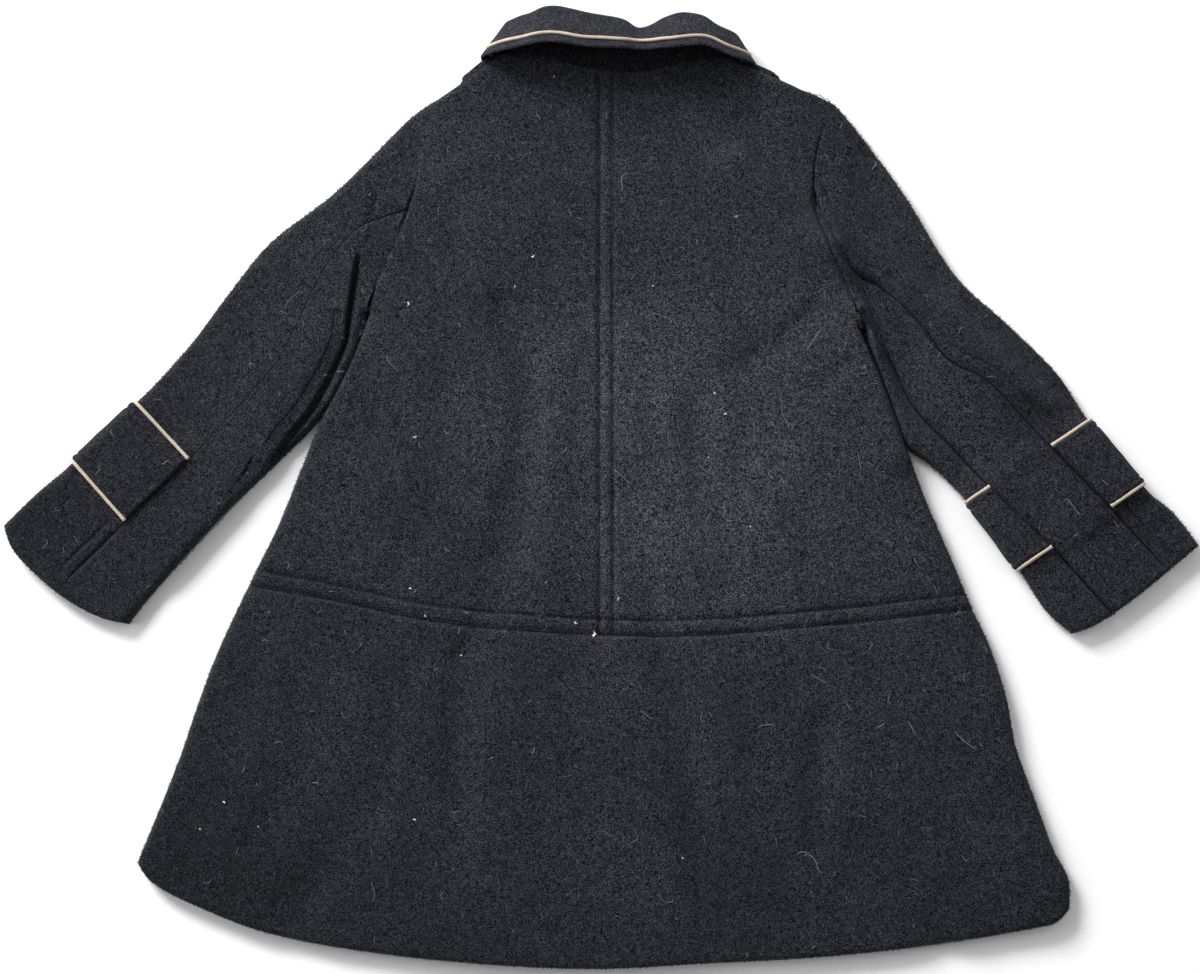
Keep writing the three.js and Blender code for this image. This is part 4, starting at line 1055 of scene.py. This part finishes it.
def collar_row(t, k):
    """Column k of the collar's table, read smoothly between its rows and never past them."""
    column = [np.atleast_1d(np.array(row[k], float)) for row in COLLAR]
    at = t * (len(column) - 1)
    i = min(int(at), len(column) - 2)
    f = at - i
    p0, p1, p2, p3 = (column[min(max(i + k, 0), len(column) - 1)] for k in (-1, 0, 1, 2))

    def slope(a, b):
        both = a + b
        return np.where(a * b > 0, 2 * a * b / np.where(both == 0, 1, both), 0)

    m1, m2 = slope(p1 - p0, p2 - p1), slope(p2 - p1, p3 - p2)
    value = (2 * f**3 - 3 * f**2 + 1) * p1 + (f**3 - 2 * f**2 + f) * m1
    value = value + (3 * f**2 - 2 * f**3) * p2 + (f**3 - f**2) * m2
    return value if len(value) > 1 else float(value[0])


def neck_point(at):
    if at < 1:
        return along(front_neck_line, FRONT_NECK_END * (1 - at))
    if at < 2:
        return along(neck_line, at - 1)
    return along(front_neck_line, 1 - FRONT_NECK_END * (at - 2))


STAND_STEPS = np.concatenate([[0, 0.02, 0.06], np.linspace(0.12, 1, 9)])
ROLL_STEPS = np.linspace(0, 1, 13)[1:]
FALL_STEPS = np.concatenate([np.linspace(0, 0.9, 10)[1:], [0.94, 0.965, 0.985, 1]])
EDGE_STEPS = np.concatenate([[0, 0.03, 0.08, 0.16], np.linspace(0.28, 0.8, 5), [0.88, 0.94, 0.98, 1]])


def collar_section(t):
    """A section of the collar, on the side that faces the coat, with its ways out to the other side."""
    row = {key: collar_row(t, k) for k, key in enumerate(COLLAR_KEYS)}
    base = neck_point(row["at"])
    e1 = np.array([row["to"][0], row["to"][1], 0.0])
    e1 /= np.linalg.norm(e1)
    angle = math.radians(row["facing"])
    e2 = np.array([-e1[1], e1[0], 0]) * math.sin(angle) + np.array([0, 0, math.cos(angle)])
    turned = abs(row["facing"]) / 180
    gap = NECK_GAP["back"] * (1 - turned) + NECK_GAP["front"] * turned
    origin = np.array([base[0], base[1], row["z"]]) + e1 * gap
    spread = math.radians(row["open"])
    stand = [(origin + e1 * k * row["stand"], -e2) for k in STAND_STEPS]
    for k in ROLL_STEPS:
        turn = -math.pi / 2 + (math.pi - spread) * k
        way = e1 * math.cos(turn) + e2 * math.sin(turn)
        stand.append((origin + e1 * row["stand"] + e2 * row["roll"] + way * row["roll"], way))
    end, way = stand[-1]
    down = -e1 * math.cos(spread) + e2 * math.sin(spread)
    fall = stand + [(end + down * k * (row["fall"] - COLLAR_EDGE - GROOVE), way) for k in FALL_STEPS]
    reach = COLLAR_EDGE - GROOVE
    edge = [(end + down * (row["fall"] - COLLAR_EDGE + GROOVE + k * reach), way) for k in EDGE_STEPS]
    seam = end + down * (row["fall"] - COLLAR_EDGE)
    return fall, edge, (seam, way, row["proud"])


collar_shares = np.linspace(0, 1, 300)
collar_sections = [collar_section(t) for t in collar_shares]
EASE = np.hanning(17)[1:-1] / np.hanning(17).sum()  # evens out the collar between its sections


def eased(field):
    """A field of places or ways, evened out along the collar."""
    reach = len(EASE) // 2
    padded = np.concatenate([np.repeat(field[:1], reach, 0), field, np.repeat(field[-1:], reach, 0)])
    return sum(weight * padded[k : k + len(field)] for k, weight in enumerate(EASE))


def collar_grid(part, soft):
    """Outer points of a part of the collar, and how full its cloth is; soft steps thin at the sewn ends."""
    inner = eased(np.array([[p for p, _ in section[part]] for section in collar_sections]))
    ways = eased(np.array([[w for _, w in section[part]] for section in collar_sections]))
    ways /= np.linalg.norm(ways, axis=-1, keepdims=True)
    x, y = inner[..., 0], inner[..., 1] + inner[..., 2]
    sag = 0.5 * waves(x, y, 19) + 0.3 * waves(x, y + 60, 9)
    height = CLOTH + 0.55 * sag - soft[None, :]
    return inner + ways * height[..., None], ways, np.repeat(1 - 0.3 * soft[None, :], len(inner), 0)


fall_soft = np.concatenate([[1.2, 0.9, 0.4], np.zeros(len(STAND_STEPS) - 3 + len(ROLL_STEPS) + len(FALL_STEPS) - 4),
                            [0.1, 0.35, 0.8, 1.3]])
edge_soft = np.concatenate([[1.3, 0.8, 0.35, 0.1], np.zeros(len(EDGE_STEPS) - 8), [0.15, 0.4, 0.8, 1.3]])
for part_name, part, soft, size in (("collar", 0, fall_soft, (75, 560)), ("collar_edge", 1, edge_soft, (12, 640))):
    points, ways, full = collar_grid(part, soft)
    piece = cloth_piece(f"{part_name}_cloth", points, full, ways, CLOTH, fleece, collar_painted_shade)
    declare(piece, part_name, points, *size, ["back_left_panel", "back_right_panel"])

seams = eased(np.array([section[2][0] for section in collar_sections]))
seam_ways = eased(np.array([section[2][1] for section in collar_sections]))
seam_ways /= np.linalg.norm(seam_ways, axis=1, keepdims=True)
proud = np.array([section[2][2] for section in collar_sections])
line, out, at = even_run(seams + seam_ways * proud[:, None], seam_ways)
cord("collar_piping_cord", "collar_piping", line, out, COLLAR_CORD * (1 + 0.05 * waves(at, at * 0 + 3, 7)))

# The topstitching: a row of short stitches in matching thread beside the middle, waist and sleeve seams and
# round the cuff bands. Each stitch is pressed into the nap, and only its back shows.
STITCH_LENGTH, STITCH_WIDTH, STITCH_PITCH = 2.7, 0.85, 3.4
THREAD = (0.003, 0.003, 0.005, 1)
EDGE_SHARE = 0.03  # share across the sleeve at which a band's topstitching starts
STITCH_STEEPEST, FIBRE_STEEPEST = 0.3, 0.2  # nothing is laid where the cloth's way out rises less
depsgraph = bpy.context.evaluated_depsgraph_get()
depsgraph.update()
upper_pieces = [back_left, back_right, back_skirt, *sleeves.values(), *bands.values()]
trees = [BVHTree.FromObject(piece, depsgraph) for piece in upper_pieces]
HIGH = 0.1  # metres: above the whole coat


def surface_at(x, y):
    """The highest place of the cloth over a place in plan, with its way out, in metres."""
    start = Vector(((x - MIDDLE[0]) * MM, (y - MIDDLE[1]) * MM, HIGH))
    found = [tree.ray_cast(start, Vector((0, 0, -1))) for tree in trees]
    found = [hit for hit in found if hit[0] is not None]
    return max(found, key=lambda hit: hit[0].z) if found else None


def band_line(side, row, start, stop):
    shares = np.linspace(start, stop, 24)
    return side["plan"](shares, np.full(24, float(row)))


def shown_parts(line, shows):
    """The stretches of a line along which its seam shows."""
    shares = np.linspace(0, 1, 101)
    visible = np.interp(shares, *shows) > 0.5
    ends = np.flatnonzero(np.diff(np.concatenate([[0], visible, [0]])))
    return [piece_of(line, shares[a], shares[b - 1]) for a, b in zip(ends[::2], ends[1::2])]


def stitch_rows():
    """Plan lines of the topstitching, each with where it is left out."""
    rows = [center_stitch + np.array([(0, 9.4), (0, -2.0)]), waist_stitch]
    for side in SIDES.values():
        rows += shown_parts(side["stitch"], STITCH_SHOWS[side["name"]])
        corners = []
        for level, row in ((2.0, BAND["low"] + BAND_STITCH), (3.0, BAND["high"] - BAND_STITCH)):
            inner = float(crossing(side["plan"], np.array([level]), side["back"])[0]) - BAND_END_STITCH / SLEEVE_WIDTH
            rows.append(band_line(side, row, EDGE_SHARE, inner))
            corners.append(side["plan"](np.array([inner]), np.array([row]))[0])
        rows.append(np.linspace(*corners, 12))
    return rows


bm = bmesh.new()
for line in stitch_rows():
    count = int(length_of(line) / STITCH_PITCH)
    for k in range(count):
        (x, y), (x2, y2) = along(line, (k + 0.3) / count), along(line, (k + 0.7) / count)
        hit = surface_at(x, y)
        if hit is None or hit[1].z < STITCH_STEEPEST:
            continue
        made = bmesh.ops.create_icosphere(bm, subdivisions=1, radius=0.5 * MM)["verts"]
        heading = Vector((x2 - x, y2 - y, 0)).normalized()
        heading = (heading - heading.dot(hit[1]) * hit[1]).normalized()
        aside = hit[1].cross(heading)
        for vert in made:
            u, v, w = vert.co
            vert.co = (hit[0] + hit[1] * (w * STITCH_WIDTH - 0.0001)
                       + heading * u * STITCH_LENGTH + aside * v * STITCH_WIDTH)
for face in bm.faces:
    face.smooth = True
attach(finished(bm, "topstitching", plain_material("navy_thread", THREAD, 0.7)), "root")

# Loose fibres: single pale hairs of the fleece and bits of lint that have settled on the nap.
# They lie anyhow, each a thin curl; most are a few millimetres long and some the length of a finger joint.
rng = np.random.default_rng(12)
HAIRS, LONG_HAIRS = 420, 22
HAIR_WIDTH = 0.28
HAIR_SIDES = 3
LINT = [(-119.7, 113.5, 2.8), (-41.8, 142.6, 1.9), (-52.7, 124.1, 1.4), (33, 124.1, 1.6), (85, 168, 1.3),
        (-28.7, 257.9, 1.3), (-114.4, 30.1, 2.6), (70.9, 57, 1.9), (77.5, 43.6, 1.8), (67, 17, 1.2),
        (92.4, -26, 1.5),
        (-33, -61, 1.1), (11.2, -71.1, 2.6), (-3.8, -92.7, 3.4), (-14.5, -85.6, 2.2), (-116.6, -64.4, 1.7),
        (-107, -81.2, 1.6), (-85, -105.4, 1.3), (-228.8, -195.4, 1.9), (-243, -211.3, 1.4),
        (-207.7, -210, 1.3),
        (-112.9, -206, 1.8), (50, -229, 1.4)]


def curl(bm, x, y, length, width, turn, bend):
    """One hair: a thin bent rod laid on the nap, a little raised at its middle."""
    count = 5 if length < 8 else 13
    heading, aside = np.array([math.cos(turn), math.sin(turn)]), np.array([-math.sin(turn), math.cos(turn)])
    rings = []
    for k in range(count):
        t = k / (count - 1) - 0.5
        sway = bend * (0.25 - t * t) + 0.3 * bend * math.sin(7 * t) * abs(t)
        at = np.array([x, y]) + heading * t * length + aside * sway * length
        hit = surface_at(*at)
        if hit is None or hit[1].z < FIBRE_STEEPEST:
            return
        out = hit[1]
        middle = hit[0] + out * (0.12 + 1.0 * (0.25 - t * t)) * MM
        across = out.cross(Vector((*heading, 0))).normalized()
        thick = width * (0.35 if k in (0, count - 1) else 1) * MM / 2
        turns = [2 * math.pi * j / HAIR_SIDES for j in range(HAIR_SIDES)]
        rings.append([middle + across * thick * math.cos(a) + out * thick * math.sin(a) for a in turns])
    rings = [[bm.verts.new(p) for p in ring] for ring in rings]
    edges = []
    for ring in rings:
        edges.append([bm.edges.new((ring[j], ring[(j + 1) % HAIR_SIDES])) for j in range(HAIR_SIDES)])
    for a, b in zip(edges[:-1], edges[1:]):
        bmesh.ops.bridge_loops(bm, edges=a + b)
    for ring in (rings[0], rings[-1]):
        bm.faces.new(ring)


def loose(name, spots, color):
    bm = bmesh.new()
    for spot in spots:
        curl(bm, *spot)
    bmesh.ops.recalc_face_normals(bm, faces=bm.faces)
    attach(finished(bm, name, plain_material(f"{name}_fibre", color, 0.7)), "root")


hairs = [(rng.uniform(-360, 360), rng.uniform(-290, 270), rng.uniform(2.0, 6.5), HAIR_WIDTH * rng.uniform(0.7, 1.3),
          rng.uniform(0, 2 * math.pi), rng.uniform(-2, 2)) for _ in range(HAIRS)]
hairs += [(rng.uniform(-300, 300), rng.uniform(-270, 230), rng.uniform(9, 19), HAIR_WIDTH,
           rng.uniform(0, 2 * math.pi), rng.uniform(-1.6, 1.6)) for _ in range(LONG_HAIRS)]
loose("loose_hairs", hairs, (0.24, 0.25, 0.27, 1))
lint = [(x, y, size, size * 0.55, rng.uniform(0, 2 * math.pi), rng.uniform(-1, 1)) for x, y, size in LINT]
loose("lint", lint, (0.72, 0.66, 0.58, 1))

# The nap at the edges: short stiff fibres of the fleece that stand out past every edge, so that it looks soft.
NAP_PITCH = 0.9  # mm along an edge
NAP_LENGTH = (0.9, 1.8)
NAP_WIDTH = 1.0


def outline_of(line, level, outward_of):
    """Places along an edge at a level, with the way out in plan."""
    far = length_of(line)
    spots = along(line, (np.arange(int(far / NAP_PITCH)) + rng.uniform(0.2, 0.8)) * NAP_PITCH / far)
    heading = np.gradient(spots, axis=0)
    out = np.stack([heading[:, 1], -heading[:, 0]], -1)
    out /= np.linalg.norm(out, axis=1, keepdims=True) + 1e-9
    turned = np.sign(((spots - np.asarray(outward_of)) * out).sum(1, keepdims=True))
    return spots, out * turned, level


napped_edges = [
    outline_of(skirt_left, 4.8, (0, -100)), outline_of(skirt_right, 4.8, (0, -100)),
    outline_of(hem_line, 9.0, (0, 0)), outline_of(hem_line, 4.0, (0, 0)),
    outline_of(left_side_line[:60], 4.8, (0, 0)), outline_of(right_side_line[:60], 4.8, (0, 0)),
    outline_of(left_top, 4.8, (0, -200)), outline_of(right_top, 4.8, (0, -200)),
    outline_of(line_through(inner_left), 4.8, (-400, 300)), outline_of(line_through(inner_right), 4.8, (400, 300)),
    outline_of(line_through(LEFT_CUFF), 8.0, (0, 200)), outline_of(line_through(RIGHT_CUFF), 8.0, (0, 200)),
]
bm = bmesh.new()
for spots, ways, level in napped_edges:
    for (x, y), (ox, oy) in zip(spots, ways):
        length = rng.uniform(*NAP_LENGTH)
        way = Vector((ox, oy, rng.uniform(-0.3, 0.9))).normalized()
        way = (way + Vector(rng.normal(0, 0.45, 3))).normalized()
        at = Vector(((x - MIDDLE[0]) * MM, (y - MIDDLE[1]) * MM, (level + rng.uniform(-2.2, 2.2)) * MM))
        turn = way.to_track_quat("Z", "Y").to_matrix().to_4x4()
        turn.translation = at + way * (length / 2 - 0.3) * MM
        bmesh.ops.create_cone(bm, cap_ends=True, segments=3, radius1=NAP_WIDTH * MM / 2, radius2=0.02 * MM,
                              depth=length * MM, matrix=turn)
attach(finished(bm, "edge_nap", plain_material("nap_fibre", (0.02, 0.02, 0.026, 1), 0.9)), "root")
